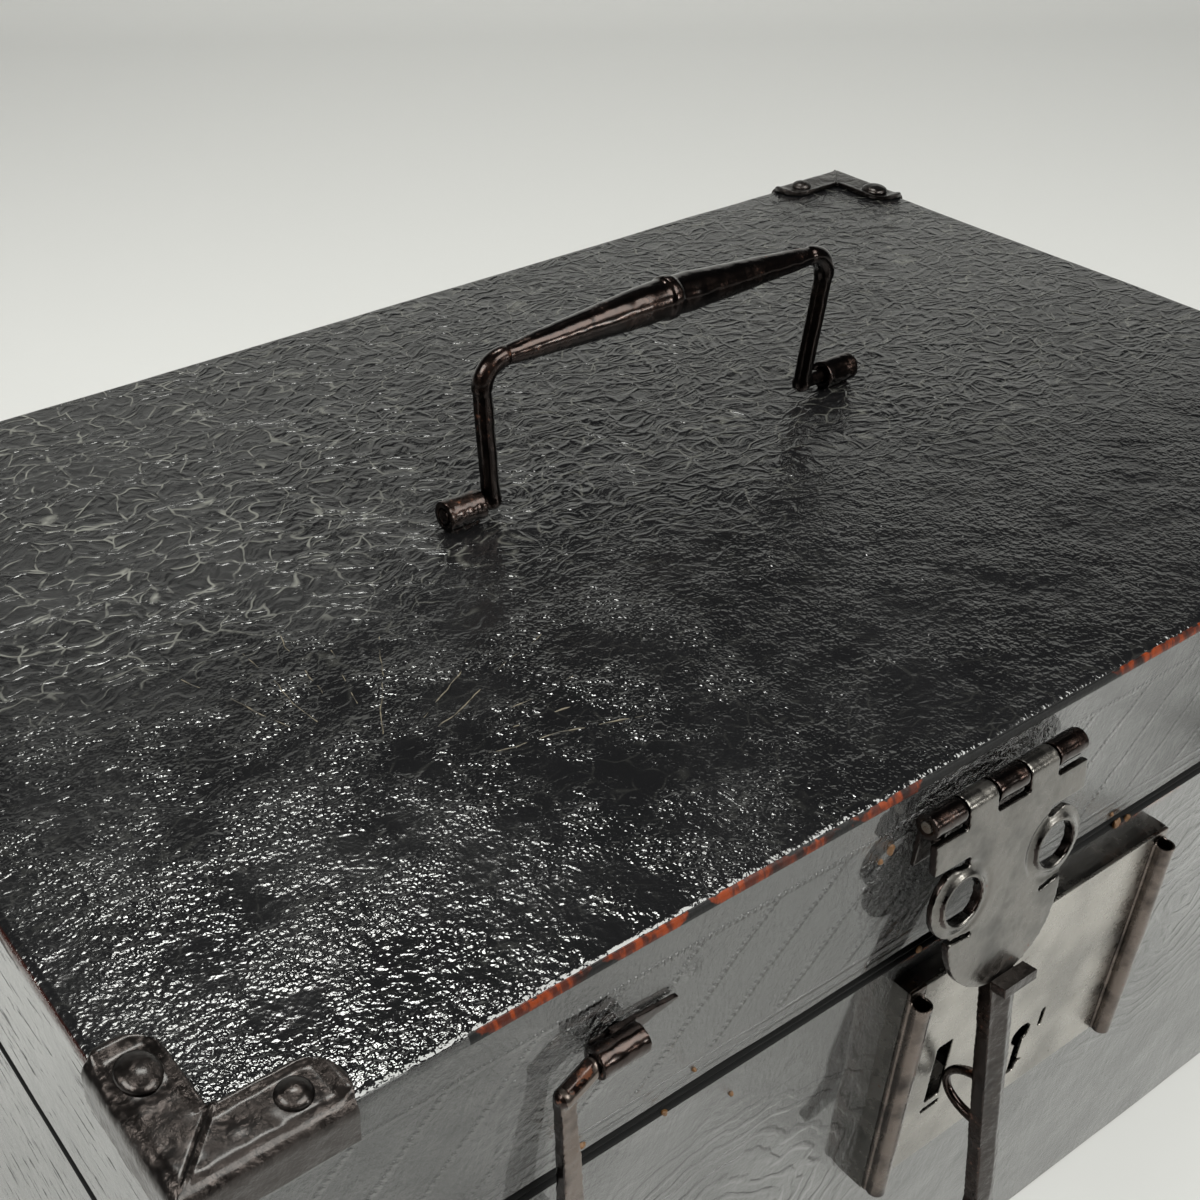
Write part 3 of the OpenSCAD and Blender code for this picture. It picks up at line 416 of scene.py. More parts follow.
def crackled_lacquer(sizes, colours):
    """Old lacquer shrunk on the hide: a deep gloss coat in flat cells with raised lips, drawn out
    along the lid, over finer dimples. The lips are pale: partly rubbed grey lacquer, partly a painted
    highlight along the ridges, strongest away from the front and toward the left. Near the front it
    stands in hard pebbles that glitter, drawn a little coarser than they are so that they show."""
    material, add, surface, place, xyz = start_material("crackled_lacquer")
    sway = add("vector_minus", add("drift", place, 1 / 16.0, 2.0), (0.5, 0.5, 0.5))
    bent = add("vector_plus", add("vector_times", sway, (14, 14, 0)), place)
    drawn = add("mapped", bent, (0.62, 1.0, 1.0), (0, 0, math.radians(16)))
    size = sizes.crackle / MM

    def lips(width, scale, tall):
        edge = add("cell_edges", drawn, scale / size)
        return add("ramp", edge, 0.0, width, tall, 0.0)

    nearness = add("times_plus", xyz[1], -1.0, add("times", xyz[0], -0.15))
    near = add("ramp", nearness, -5.0, 55.0)
    zones = add("ramp", add("noise", place, 1 / 30.0), 0.42, 0.58)
    left = add("times", add("ramp", xyz[0], -30.0, -130.0), add("minus", 1.0, near))
    height = add("plus", lips(0.15, 1.0, 0.13), add("times", lips(0.3, 2.3, 0.07), zones))
    height = add("times_plus", add("times", lips(0.16, 0.9, 1.0), left), 0.12, height)
    # Mask of the pale lips: partly rubbed lacquer, partly a painted highlight along the ridges
    rubbed = add("times", lips(0.05, 0.9, 1.0), add("ramp", add("noise", place, 1 / 5.0, 4.0), 0.4, 0.62))
    rubbed = add("times", rubbed, add("times_plus", near, -0.85, 1.0))
    rubbed = add("times", rubbed, add("times_plus", left, 0.45, 0.4))
    height = add("times_plus", add("noise", drawn, 1 / (size * 0.6), 4.0), 0.55, height)
    height = add("times", height, add("times_plus", near, -0.75, 1.0))
    height = add("times", height, add("times_plus", left, -0.3, 1.0))
    pebbles = add("noise", place, 1 / (sizes.pebble / MM), 1.5, 0.6)
    crowded = add("ramp", add("noise", place, 1 / 13.0, 4.0), 0.28, 0.72, 0.05, 0.52)
    height = add("times_plus", add("times", pebbles, near), crowded, height)
    rough = add("ramp", add("noise", place, 1 / 25.0), 0.3, 0.7, 0.1, 0.2)
    rough = add("times_plus", left, 0.1, add("times_plus", rubbed, 0.35, rough))
    # The lips take the pale colour: rubbed lacquer and painted highlight in one
    tone = add("blend", rubbed, lacquer_tone(add, place, xyz, colours), colours.rubbed)
    fill(surface, {"Base Color": tone, "Roughness": rough, "Normal": add("bump", height, 1.0 * MM),
                   "IOR": 1.8})
    return material


def gloss_coat(add, dull):
    """Several coats of lacquer, the last one clear: they mirror more than a single coat. Where dull is
    1 the clear coat is gone."""
    return {"IOR": 1.75, "Coat Weight": add("times_plus", dull, -0.8, 0.8), "Coat Roughness": 0.05}


def grime(add, place, x, z):
    """1 where the lacquer is crumpled and dull behind the hasp and the latches."""
    worst = None
    for middle, height, wide, tall in GRIME:
        across = add("times", add("minus", x, middle), 1 / wide)
        up = add("times", add("minus", z, height), 1 / tall)
        away = add("times_plus", across, across, add("times", up, up))
        worst = away if worst is None else add("lower", worst, away)
    ragged = add("times_plus", add("noise", place, 1 / 5.0, 4.0), 1.4, worst)
    return add("ramp", ragged, 1.2, 1.8, 1.0, 0.0)


def tooled_lines(sizes, add, warp, x, z):
    """Relief of the tooling, and the field that the diagonals fill: beaded diagonals, a beaded border
    below the arris, and two raised lines above the joint."""
    bead, pitch, foot = sizes.bead_pitch / MM, sizes.line_pitch / MM, float(LID_LOW[2])
    rise, run = math.sin(LINE_SLOPE), math.cos(LINE_SLOPE)
    across = add("plus", add("times_plus", z, -run, add("times_plus", x, rise, LINE_START)), warp)
    along = add("times_plus", z, rise, add("times", x, run))
    level = add("times_plus", warp, 0.4, z)

    def line(height, width):
        return add("ramp", add("unsigned", add("minus", level, height)), width, 0.0)

    def beads(value):
        return add("ramp", add("sine", add("times", value, TURN / bead)), -0.6, 0.8, 0.45, 1.2)

    field = add("times", add("ramp", z, foot + 7, foot + 9), add("ramp", z, TOP - 9, TOP - 11))
    diagonal = add("times", add("ramp", add("folded", across, pitch / 2), 1.2, 0.0), beads(along))
    border = add("times", line(TOP - 10, 1.0), beads(x))
    lower = add("higher", line(foot + 3.2, 1.0), line(foot + 6.2, 0.8))
    return add("higher", add("times", diagonal, field), add("higher", border, lower)), field


def tooled_lacquer(sizes, colours):
    """The same lacquer over tooled hide, with scattered pebbled spots, fine wrinkles, and dull
    crumples behind the fittings. Toward both ends its clear coat is worn thin."""
    material, add, surface, place, xyz = start_material("tooled_lacquer")
    x, _, z = xyz
    warp = add("times_plus", add("noise", place, 1 / 14.0, 2.0), 2.0, -1.0)
    lines, field = tooled_lines(sizes, add, warp, x, z)
    spot = add("cells", add("mapped", place, (1.0, 0.0, 1.0)), 1 / 20, 0.9)
    spots = add("times", add("ramp", spot, 0.19, 0.1), field)
    pebbles = add("noise", place, 1 / 1.2, 1.0)
    height = add("times_plus", add("times", spots, pebbles), 3.4, add("times", lines, 1.5))
    left_end, right_end = add("ramp", x, -125.0, -150.0), add("ramp", x, 0.0, 90.0)
    rougher = add("times_plus", left_end, 1.2, add("times_plus", right_end, 1.8, 1.0))
    stretched = add("mapped", place, (1.0, 1.0, 0.4), (0, math.radians(-35), 0))
    wrinkles = add("noise", stretched, 1 / 2.0, 6.0, 0.72)
    height = add("times_plus", add("times", wrinkles, rougher), 1.7, height)
    patches = add("ramp", add("noise", place, 1 / 12.0), 0.35, 0.6)
    grain = add("times", add("noise", place, 1 / 0.9, 1.5, 0.6), patches)
    height = add("times_plus", grain, 0.9, height)
    dull = grime(add, place, x, z)
    crumple = add("noise", place, 1 / 2.2, 4.0, 0.6)
    height = add("times_plus", add("times", crumple, dull), 8.0, height)
    rough = add("ramp", add("noise", place, 1 / 9.0), 0.35, 0.7, 0.07, 0.14)
    thin = add("times_plus", left_end, 0.45, add("times", right_end, 0.85))
    fill(surface, {"Base Color": lacquer_tone(add, place, xyz, colours), "Roughness": rough,
                   "Normal": add("bump", height, 0.45 * MM),
                   **gloss_coat(add, add("higher", add("times", dull, 0.35), thin))})
    return material


def growth_rings(add, place, height):
    """Adds the growth rings of the boards to a relief: arcs that fade away from their middles."""
    wander = add("times_plus", add("noise", place, 1 / 26.0), 22.0, -11.0)
    for centre in RING_CENTRES:
        away = add("vector_times", add("vector_minus", place, centre), (0.8, 0.0, 1.0))
        away = add("plus", add("length", away), wander)
        wave = add("ramp", add("sine", add("times", away, TURN / RING_PITCH)), 0.0, 1.0)
        height = add("times_plus", wave, add("ramp", away, 60.0, 20.0, 0.0, 1.68), height)
    return height


def plain_lacquer(colours):
    """The same lacquer on the plain hide of the sides: gloss over fine wrinkles and the growth
    rings of the boards, which print through as low arcs."""
    material, add, surface, place, xyz = start_material("plain_lacquer")
    stretched = add("mapped", place, (0.9, 0.25, 0.4), (0, math.radians(-30), 0))
    wrinkles = add("noise", stretched, 1 / 2.2, 6.0, 0.72)
    wrinkles = add("times", wrinkles, add("ramp", add("noise", place, 1 / 30.0), 0.35, 0.65, 1.0, 2.6))
    height = growth_rings(add, place, add("times_plus", add("noise", place, 1 / 22.0, 2.0), 3.0, wrinkles))
    drawn = add("mapped", place, (1.0, 0.12, 0.8), (math.radians(12), 0, 0))
    side = add("ramp", add("unsigned", xyz[0]), HALF_W - 4, HALF_W - 2)
    crack = add("times", add("ramp", add("noise", drawn, 1 / 1.8, 5.0, 0.7), 0.37, 0.43, 1.0, 0.0), side)
    height = add("times_plus", crack, -1.2, height)
    grain = add("noise", place, 1 / 1.1, 2.0, 0.65)
    patches = add("ramp", add("noise", place, 1 / 18.0), 0.35, 0.65, 0.2, 0.9)
    height = add("times_plus", grain, patches, height)
    rough = add("ramp", add("noise", place, 1 / 12.0), 0.35, 0.7, 0.07, 0.14)
    rough = add("times_plus", crack, 0.5, rough)
    fill(surface, {"Base Color": lacquer_tone(add, place, xyz, colours), "Roughness": rough,
                   "Normal": add("bump", height, 0.55 * MM), **gloss_coat(add, crack)})
    return material


def wrought_iron(colours, name, light, dark, shade, rusting, rough, pitting):
    """Forged iron under old fire scale and oil: a brown-black to grey semi-gloss with soft hammer
    waves, fine pits, and dull rust where damp stood."""
    material, add, surface, place, _ = start_material(name)
    clouds = add("noise", place, 1 / 11.0, 6.0, 0.62)
    pits = add("noise", place, 1 / 1.3, 4.0, 0.62)
    damp = add("times_plus", pits, 0.5, add("times", clouds, 0.5))
    speck = add("ramp", damp, rusting, rusting + 0.05)
    dark, light = shaded(getattr(colours, dark), shade), getattr(colours, light)
    base = add("blend", speck, add("blend", add("ramp", clouds, 0.3, 0.6), dark, light), colours.rust)
    pitted = add("times", pits, add("ramp", clouds, 0.45, 0.62, 0.1, 1.0))
    height = add("times_plus", add("noise", place, 1 / 5.0, 2.0), 2.5, pitted)
    rough = add("ramp", add("plus", pitted, speck), 0.1, 0.8, rough, rough + 0.2)
    fill(surface, {"Base Color": base, "Metallic": add("minus", 1.0, speck), "Roughness": rough,
                   "Normal": add("bump", height, pitting * MM), "Coat Weight": 0.35,
                   "Coat Roughness": 0.16})
    return material


def burnished_iron(colours):
    """Sheet iron rubbed bright with oil and grit: a soft grey mirror, slightly wavy, with a few brown
    specks and faint long scratches, drawn coarser than grit leaves them so that they show."""
    material, add, surface, place, _ = start_material("burnished_iron")
    spots = add("noise", place, 1 / 4.0, 6.0, 0.7)
    clouds = add("noise", place, 1 / 26.0, 2.0)
    base = add("blend", add("ramp", clouds, 0.35, 0.65), shaded(colours.polished, 0.6), colours.polished)
    base = add("blend", add("ramp", spots, 0.66, 0.72), base, colours.iron_dark)
    drawn = add("mapped", place, (2.0, 2.0, 1 / 30))
    height = add("times_plus", add("noise", place, 1 / 22.0, 1.0), 20.0, add("noise", drawn, 1.0, 2.0))
    rough = add("ramp", spots, 0.35, 0.7, 0.24, 0.34)
    fill(surface, {"Base Color": base, "Metallic": 1.0, "Roughness": rough,
                   "Normal": add("bump", height, 0.008 * MM)})
    return material


def crack_edge(colours):
    """Broken lacquer at a crack: dry, pale brown and dull against the gloss."""
    material, add, surface, place, _ = start_material("dry_lacquer_edge")
    stained = add("ramp", add("noise", place, 1 / 3.0), 0.4, 0.6)
    tone = add("blend", stained, colours.crack, shaded(colours.crack, 0.2))
    fill(surface, {"Base Color": tone, "Roughness": 0.55})
    return material


def resin(colours):
    """Old glue dried to crumbs: amber brown, dull."""
    material, add, surface, place, _ = start_material("dried_glue")
    tone = add("blend", add("noise", place, 1 / 1.5), shaded(colours.resin, 0.4), colours.resin)
    relief = add("bump", add("noise", place, 1 / 0.8), 0.2 * MM)
    fill(surface, {"Base Color": tone, "Roughness": 0.5, "Normal": relief})
    return material


def softwood(colours):
    """Sawn and planed softwood, dry and unvarnished, darkened near the outside beside the joint line as
    painted shade in the gap.
    """
    material, add, surface, place, (x, y, z) = start_material("softwood")
    drawn = add("mapped", place, (1 / 90, 1 / 7, 1 / 7))
    fibres = add("noise", drawn, 1 / 0.11, 4.0)
    dark = shaded(colours.board, 0.55)
    grain = add("blend", add("rings", drawn), dark, colours.board)
    grain = add("blend", add("ramp", fibres, 0.3, 0.7, 0.0, 0.5), grain, dark)
    # Painted shade: boards near the outside and beside the joint line are darkened as if in the gap's
    # shadow
    out_x, out_y = (add("ramp", add("unsigned", value), half - SHADED_IN - 0.5, half - SHADED_IN + 0.5)
                    for value, half in ((x, HALF_W), (y, HALF_D)))
    gap_shade = add("times", add("higher", out_x, out_y), add("near", z, SEAM, SHADED_UP))
    tone = add("blend", gap_shade, grain, shaded(colours.lacquer, 0.4))
    fill(surface, {"Base Color": tone, "Roughness": 0.7, "Normal": add("bump", fibres, 0.15 * MM)})
    return material


# Kinds of forged iron: name, colour, the colour that its dark clouds are a shade of and the share of
# light that they keep, where specks of rust start, roughness, and depth of its pits in millimetres
IRONS = {"dark_iron": ("patinated_iron", "iron_dark", "iron_dark", 0.4, 0.6, 0.2, 0.1),
         "grey_iron": ("rubbed_iron", "iron_grey", "iron_grey", 0.45, 0.63, 0.26, 0.06),
         "corner_iron": ("hammered_iron", "iron_corner", "iron_corner", 0.5, 0.7, 0.32, 0.34),
         "brown_iron": ("browned_iron", "iron_brown", "iron_dark", 0.4, 0.62, 0.24, 0.08)}
STOCK = {}


def stock(name):
    """The case's materials, each made once."""
    if not STOCK:
        sizes, colours = bpy.context.scene.case_sizes, bpy.context.scene.case_colours
        STOCK.update(crackled=crackled_lacquer(sizes, colours), tooled=tooled_lacquer(sizes, colours),
                     plain=plain_lacquer(colours), bright_iron=burnished_iron(colours),
                     softwood=softwood(colours), crack=crack_edge(colours), worn=worn_lacquer(colours),
                     cut=cut_hide(colours), resin=resin(colours))
        for kind, finish in IRONS.items():
            STOCK[kind] = wrought_iron(colours, *finish)
    return STOCK[name]


# Coverings

# How the coverings lie: bump width, depth and seed of the noise that sinks them
LID_LIE = (30.0, 0.25, 3)
BODY_LIE = (34.0, 0.25, 5)
# How far they stop short of the joint line, and how fine their lattice is
LID_GAP, BODY_GAP = 0.3, 0.4
LATTICE_STEP = 1.25


def spaced(low, high, marks):
    """Lattice lines from low to high, with extra lines at the marks."""
    lines = sorted({round(float(v), 4) for v in (low, high, *marks)})
    out = []
    for a, b in zip(lines, lines[1:]):
        count = max(1, math.ceil((b - a) / LATTICE_STEP - 0.01))
        out += list(np.linspace(a, b, count, endpoint=False))
    return np.array(out + [lines[-1]])


def lattice(low, high, radius, marks=()):
    """Lattice lines of a covering, closer together where it turns the arrises."""
    turns = [radius * t for t in (0.2, 0.4, 0.6, 0.8, 1.0)]
    return spaced(low, high, [low + t for t in turns] + [high - t for t in turns] + list(marks))


def covering(low, high, radius, hide, on_top, hole=None):
    """Hide over a block with rounded arrises, its top open unless on_top, its underside open, its
    front open at the hole. Gives the mesh and how each face looks: 0 up, 1 front, 2 elsewhere."""
    marks = [(hole[0][a], hole[1][a]) if hole and a != 1 else () for a in range(3)]
    axes = [lattice(low[a], high[a], radius, marks[a]) for a in range(3)]
    quads, looks = [], []
    for axis, end in ((0, 0), (0, 1), (1, 0), (1, 1), (2, 1)):
        if axis == 2 and not on_top:
            continue
        u, v = (axis + 1) % 3, (axis + 2) % 3
        i, j = np.meshgrid(np.arange(len(axes[u]) - 1), np.arange(len(axes[v]) - 1), indexing="ij")
        index = np.zeros((i.size, 4, 3), int)
        index[:, :, axis] = end * (len(axes[axis]) - 1)
        for k, (du, dv) in enumerate(((0, 0), (1, 0), (1, 1), (0, 1))):
            index[:, k, u], index[:, k, v] = i.ravel() + du, j.ravel() + dv
        if end == 0:
            index = index[:, ::-1]
        if hole and (axis, end) == (1, 0):
            middle = [axes[a][index[:, :, a]].mean(1) for a in range(3)]
            inside = [(middle[a] > hole[0][a]) & (middle[a] < hole[1][a]) for a in (0, 2)]
            index = index[~(inside[0] & inside[1])]
        quads.append(index)
        looks.append(np.full(len(index), 0 if axis == 2 else 1 if (axis, end) == (1, 0) else 2))
    unique, flat = np.unique(np.concatenate(quads).reshape(-1, 3), axis=0, return_inverse=True)
    points = np.stack([axis[row] for axis, row in zip(axes, unique.T)], 1)
    core_low = np.array([low[0] + radius, low[1] + radius, low[2] - 1])
    core_high = np.array([high[0] - radius, high[1] - radius, high[2] + (-radius if on_top else 1)])
    core = np.clip(points, core_low, core_high)
    out = points - core
    out /= np.maximum(np.linalg.norm(out, axis=1), 1e-6)[:, None]
    at_edge = unique[:, 2] == (0 if on_top else len(axes[2]) - 1)
    return cut_edge(core + out * radius, out, flat.reshape(-1, 4), np.concatenate(looks), at_edge, hide,
                    -1 if on_top else 1)


def cut_edge(points, out, faces, looks, at_edge, hide, upward):
    """Turns the open edge of a covering inward by the thickness of the hide, softly rounded. These
    faces look 3."""
    a, b = faces.ravel(), np.roll(faces, -1, axis=1).ravel()
    on = at_edge[a] & at_edge[b]
    a, b = a[on], b[on]
    rim = np.flatnonzero(at_edge)
    number = np.full(len(points), -1)
    number[rim] = np.arange(len(rim))
    points = points.copy()
    points[rim, 2] -= upward * 0.4 * hide
    meshes = [points]
    all_faces, all_looks = [faces], [looks]
    low_a, low_b, count = a, b, len(points)
    for inset, lift in ((0.08, 0.25), (0.35, 0.4), (1.0, 0.4)):
        moved = points[rim] - out[rim] * hide * inset
        moved[:, 2] += upward * lift * hide
        meshes.append(moved)
        high_a, high_b = count + number[a], count + number[b]
        all_faces.append(np.stack([low_b, low_a, high_a, high_b], 1))
        all_looks.append(np.full(len(a), 3))
        low_a, low_b, count = high_a, high_b, count + len(moved)
    return (np.concatenate(meshes), np.concatenate(all_faces)), np.concatenate(all_looks)


def sunk(points, size, depth, seed):
    """How far a covering lies inward of its true face, as negative millimetres."""
    broad, fine = wobble(points, size, seed) - 1, wobble(points, size / 3, seed + 1) - 1
    return depth * (broad + 0.4 * fine) / 2


def uneven(points, lie):
    """Lets a covering lie a little uneven, always inward of its true faces."""
    low, high = points.min(0), points.max(0)
    side = (points - (low + high) / 2) / ((high - low) / 2)
    weight = np.where(np.abs(side) > 0.97, np.sign(side), 0)
    return points + weight * sunk(points, *lie)[:, None]


def build_lid_covering(sizes):
    """Lacquered hide over the lid, with the strip of rubbed undercoat along its front arris."""
    low = LID_LOW + np.array([0, 0, LID_GAP])
    (points, faces), looks = covering(low, LID_HIGH, sizes.arris / MM, sizes.hide / MM, True)
    middle = points[faces].mean(1)
    strip = (middle[:, 1] < 1.5 - HALF_D) & (middle[:, 2] > TOP - 3.2) & (middle[:, 2] < TOP - 0.5)
    looks[strip & (middle[:, 0] > WORN_STRETCHES[0][0]) & (middle[:, 0] < WORN_STRETCHES[-1][1])] = 4
    piece("lid_covering", (uneven(points, LID_LIE), faces), "lid",
          ["crackled", "tooled", "plain", "cut", "worn"], ["lid_hide"], looks)


# Drying cracks in the lacquer on the lid: the middle of their fan, and for each its direction in
# degrees and where it starts and ends, in millimetres from there
FAN_MIDDLE = (-122.0, -62.0)
CRACKS = ((-16, 22, 58), (-5, 30, 46), (4, 31, 60), (20, 14, 58), (31, 11, 42), (57, 13, 47),
          (70, 24, 44), (82, 30, 54), (93, 22, 52), (108, 25, 56))


def build_cracks():
    """Thin raised edges of the drying cracks, which spread like a fan on the left of the lid."""
    threads = []
    for seed, (angle, start, end) in enumerate(CRACKS):
        away = np.linspace(start, end, int((end - start) / 0.5))
        turn = math.radians(angle)
        aside = np.array([-math.sin(turn), math.cos(turn), 0.0])
        spine = np.array([*FAN_MIDDLE, TOP]) + np.outer(away, (math.cos(turn), math.sin(turn), 0.0))
        sway = 1.2 * wobble(spine, 14.0, seed) + 0.35 * wobble(spine, 2.5, seed + 20)
        spine += np.outer(sway, aside)
        spine[:, 2] += sunk(spine, *LID_LIE) + 0.3 * wobble(spine, 3.0, seed + 40) - 0.1
        width = 0.14 + 0.05 * wobble(spine, 2.0, seed + 60)
        upright = np.array([aside, (0.0, 0.0, 1.0)])
        threads.append(skin([point + ring(w, 8) @ upright for point, w in zip(spine, width)]))
    piece("crack_edges", joined(*threads), "lid", ["crack"])


# Crumbs of old glue on the front, by the joint line and the hasp: x, z and width
CRUMBS = ((-98.9, 158.2, 1.6), (-80.1, 150.3, 1.2), (-92.1, 166.5, 1.3), (-120.6, 164.8, 2.4),
          (-43.3, 198.6, 2.6), (-46.0, 197.0, 1.4), (-25.0, 158.6, 1.8), (44.1, 158.8, 3.0),
          (48.5, 158.4, 2.2), (40.0, 164.0, 1.4))
FORWARD = Matrix.Rotation(math.pi / 2, 4, "X")


def build_crumbs():
    """Flat crumbs on the front of the lid and of the body."""
    for body in ("lid", "body"):
        heads = []
        for seed, (x, z, width) in enumerate(CRUMBS):
            if (z > SEAM) != (body == "lid"):
                continue
            points, faces = dome_nail(width / 2, 0.7, seed)
            points *= 1 + 0.3 * wobble(points, 0.8, seed)[:, None]
            heads.append(placed((points, faces), Matrix.Translation((x, 0.3 - HALF_D, z)) @ FORWARD))
        piece(f"crumbs_{body}", joined(*heads), body, ["resin"])


def build_body_covering(sizes):
    """Lacquered hide around the body, with an opening for the lock case."""
    hole = (LOCK_LOW, LOCK_HIGH)
    high = BODY_HIGH - np.array([0, 0, BODY_GAP])
    (points, faces), looks = covering(BODY_LOW, high, sizes.arris / MM, sizes.hide / MM, False, hole)
    piece("body_covering", (uneven(points, BODY_LIE), faces), "body",
          ["crackled", "plain", "plain", "cut"], ["body_hide"], looks)


# Ironwork


def forged(name, node, body, material, voxel, dents):
    """A solid's own form with forged edges and hammer dents."""
    mesh = dented(wrought(solid_mesh(node), voxel), dents)
    piece(name, mesh, body, [material], [node])


def dome_nail(radius, height, seed):
    """Head of a hand-made nail standing on z 0."""
    top = [(radius * math.cos(t), height * math.sin(t)) for t in np.linspace(0, math.pi / 2, 9)]
    points, faces = turned([(radius * 0.9, -0.3), (radius * 0.98, -0.05)] + top, 28)
    return points * (1 + 0.03 * wobble(points, radius, seed)[:, None]), faces


def bell(value, middle, width):
    """A soft bump: 1 at the middle, nothing a few widths away."""
    return np.exp(-((value - middle) / width) ** 2)


def rounded_over(points, axis, face, top, radius):
    """Rounds the edge between a side face and the top of a mesh that stands round the middle."""
    out = np.abs(points[:, axis]) - (face - radius)
    up = points[:, 2] - (top - radius)
    reach = np.hypot(out, up)
    share = np.where((out > 0) & (up > 0) & (reach > radius), radius / np.maximum(reach, 1e-6), 1.0)
    points[:, axis] = np.sign(points[:, axis]) * (face - radius + out * share)
    points[:, 2] = top - radius + up * share


# A corner iron's leaf: how wide and long it is, how far its end nail stands from the end of the lid,
# and the radius it is bent to
LEAF_WIDTH, LEAF_LENGTH, NAIL_ALONG, LEAF_BEND = 13.0, 33.0, 24.0, 3.6


def corner_iron(node, voxel, seed):
    """A corner iron of thin sheet: hammered, bent over both arrises, its two leaves meeting in a
    mitre with a raised lip, their ends curled up a little."""
    points, faces = dented(wrought(solid_mesh(node), voxel), [(7, 0.25, seed), (2.4, 0.12, seed + 4)])
    reach = np.abs(solid_box(node)).max(0)
    for axis in (0, 1):
        rounded_over(points, axis, reach[axis], reach[2], LEAF_BEND)
    from_side, from_end = HALF_W - np.abs(points[:, 0]), HALF_D - np.abs(points[:, 1])
    across, along = np.minimum(from_side, from_end), np.maximum(from_side, from_end)
    on_top = np.clip((points[:, 2] - TOP - 0.3) / 0.5, 0, 1)
    mitre = from_side - from_end
    lift = 0.45 * bell(mitre, 0.9, 0.5) - 0.2 * bell(mitre, 0.0, 0.35)
    curl = bell(across, LEAF_WIDTH - 1.7, 1.1) * (along > 12) + bell(along, LEAF_LENGTH - 1.2, 1.6)
    hollow = 0.1 * bell(np.hypot(along - NAIL_ALONG, (across - 6) * 0.8), 5.0, 1.2)
    points[:, 2] += on_top * ((across < LEAF_WIDTH) * lift + 0.6 * np.clip(curl, 0, 1) - hollow)
    return points, faces


def build_corner_irons(sizes):
    """The four corner irons and, in one piece, the heads of their nails."""
    for end in ("front", "back"):
        for side in SIDES:
            node = f"corner_{end}_{side}"
            seed = 11 + SIDES.index(side) + 2 * (end == "back")
            piece(f"{node}_iron", corner_iron(node, sizes.voxel / MM, seed), "lid",
                  ["corner_iron"], [node])
    radius, height = sizes.nail_radius / MM, sizes.nail_height / MM
    high = solid_box("corner_nails")[1]
    across = HALF_D - float(high[1]) + radius
    heads = []
    for i, (x, y, wide, deep) in enumerate(((HALF_W - across, HALF_D - NAIL_ALONG, 1.25, 1.45),
                                            (HALF_W - NAIL_ALONG, HALF_D - across, 1.05, 1.05))):
        for sx, sy in ((-1, -1), (-1, 1), (1, -1), (1, 1)):
            spot = Matrix.Translation((sx * x, sy * y, float(high[2]) - height))
            head = dome_nail(radius, height, i * 4 + sx + 2 * sy)
            heads.append(placed(head, spot @ Matrix.Diagonal((wide, deep, 1.0, 1.0))))
    piece("corner_nail_heads", joined(*heads), "lid", ["corner_iron"],
          ["corner_nails"])


def build_handle():
    """The bail, drawn down and bent from one bar."""
    forged("bail_handle", "handle", "handle", "dark_iron", 0.4, [(6, 0.25, 21), (2.0, 0.1, 22)])


def build_handle_staples(sizes):
    """The two rolled staples that the bail turns in."""
    for side in SIDES:
        forged(f"handle_staple_{side}_iron", f"handle_staple_{side}", "lid", "dark_iron", sizes.voxel / MM,
               [(4, 0.25, 31), (1.3, 0.14, 32)])


# The hasp's pin, how far the hasp hangs away from the front at rest, and in the hasp's own place, from
# the pin: the middles of its ears, where the bar starts and flares, and the ridge's X and half width
HASP_PIN = (-15.0, -128.4, 204.5)
HASP_LEAN = math.radians(-9)
HASP_PLACE = Matrix.Translation(HASP_PIN) @ Matrix.Rotation(HASP_LEAN, 4, "X")
EARS = ((-14.7, -21.0), (14.7, -21.0))
BAR_START, BAR_FLARE = -52.5, -127.0
RIDGE_X, RIDGE_HALF = 2.6, 3.6
# The lug's front: where it starts to be drawn in, and the share of its reach that is left
LUG_FRONT, LUG_SHARE = -3.2, 0.45
# The loop on the back of the bar: x, y and z of its middle, how far it reaches back, half its height
LOOP = (2.0, 0.4, -90.0, 9.9, 6.9)


def on_hasp(mesh, change):
    """Applies a change of points in the hasp's own upright place to a mesh that hangs at rest."""
    upright = placed(mesh, HASP_PLACE.inverted())
    return placed((change(upright[0]), upright[1]), HASP_PLACE)


def rimmed_ears(points):
    """Raises the rims of the two pierced ears on the front of the leaf."""
    outward = np.clip((-1.2 - points[:, 1]) / 1.2, 0, 1)
    for x, z in EARS:
        away = np.hypot(points[:, 0] - x, points[:, 2] - z)
        points[:, 1] -= outward * (0.7 * bell(away, 6.0, 0.8) - 0.3 * bell(away, 8.4, 0.8))
    return points


def ridged_bar(points):
    """Draws the lug in to the reach that the photograph shows, and gives the bar its front ridge."""
    x, y, z = points.T
    front = np.clip((BAR_START - z) / 3.0, 0, 1) * np.clip((-y - 1.0) / 1.8, 0, 1)
    ridge = 1.4 * np.clip(1 - np.abs(x - RIDGE_X) / RIDGE_HALF, 0, 1)
    y -= front * np.clip((z - BAR_FLARE) / 12.0, 0, 1) * ridge
    proud = (y < LUG_FRONT) & (z > BAR_START)
    y[proud] = LUG_FRONT + (y[proud] - LUG_FRONT) * LUG_SHARE
    return points


def shaded_flank(mesh):
    """1 for the faces that look left, which take the dark iron as painted shade on that flank."""
    quads = mesh[0][np.array(mesh[1])]
    facing = np.cross(quads[:, 2] - quads[:, 0], quads[:, 3] - quads[:, 1])
    return (facing[:, 0] < -0.45 * np.linalg.norm(facing, axis=1)).astype(int)


def hasp_ring():
    """The thin forged ring on the back of the bar, which enters the slot of the lock."""
    x, y, z, reach, half = LOOP
    turns = np.linspace(-math.pi / 2, math.pi / 2, 28)
    path = [(x, y + reach * math.cos(t), z + half * math.sin(t)) for t in turns]
    sections = [ring(1.05 + 0.25 * abs(math.sin(t)) ** 3, 18, 2.6) for t in turns]
    return placed(swept(path, sections, (1, 0, 0)), HASP_PLACE)


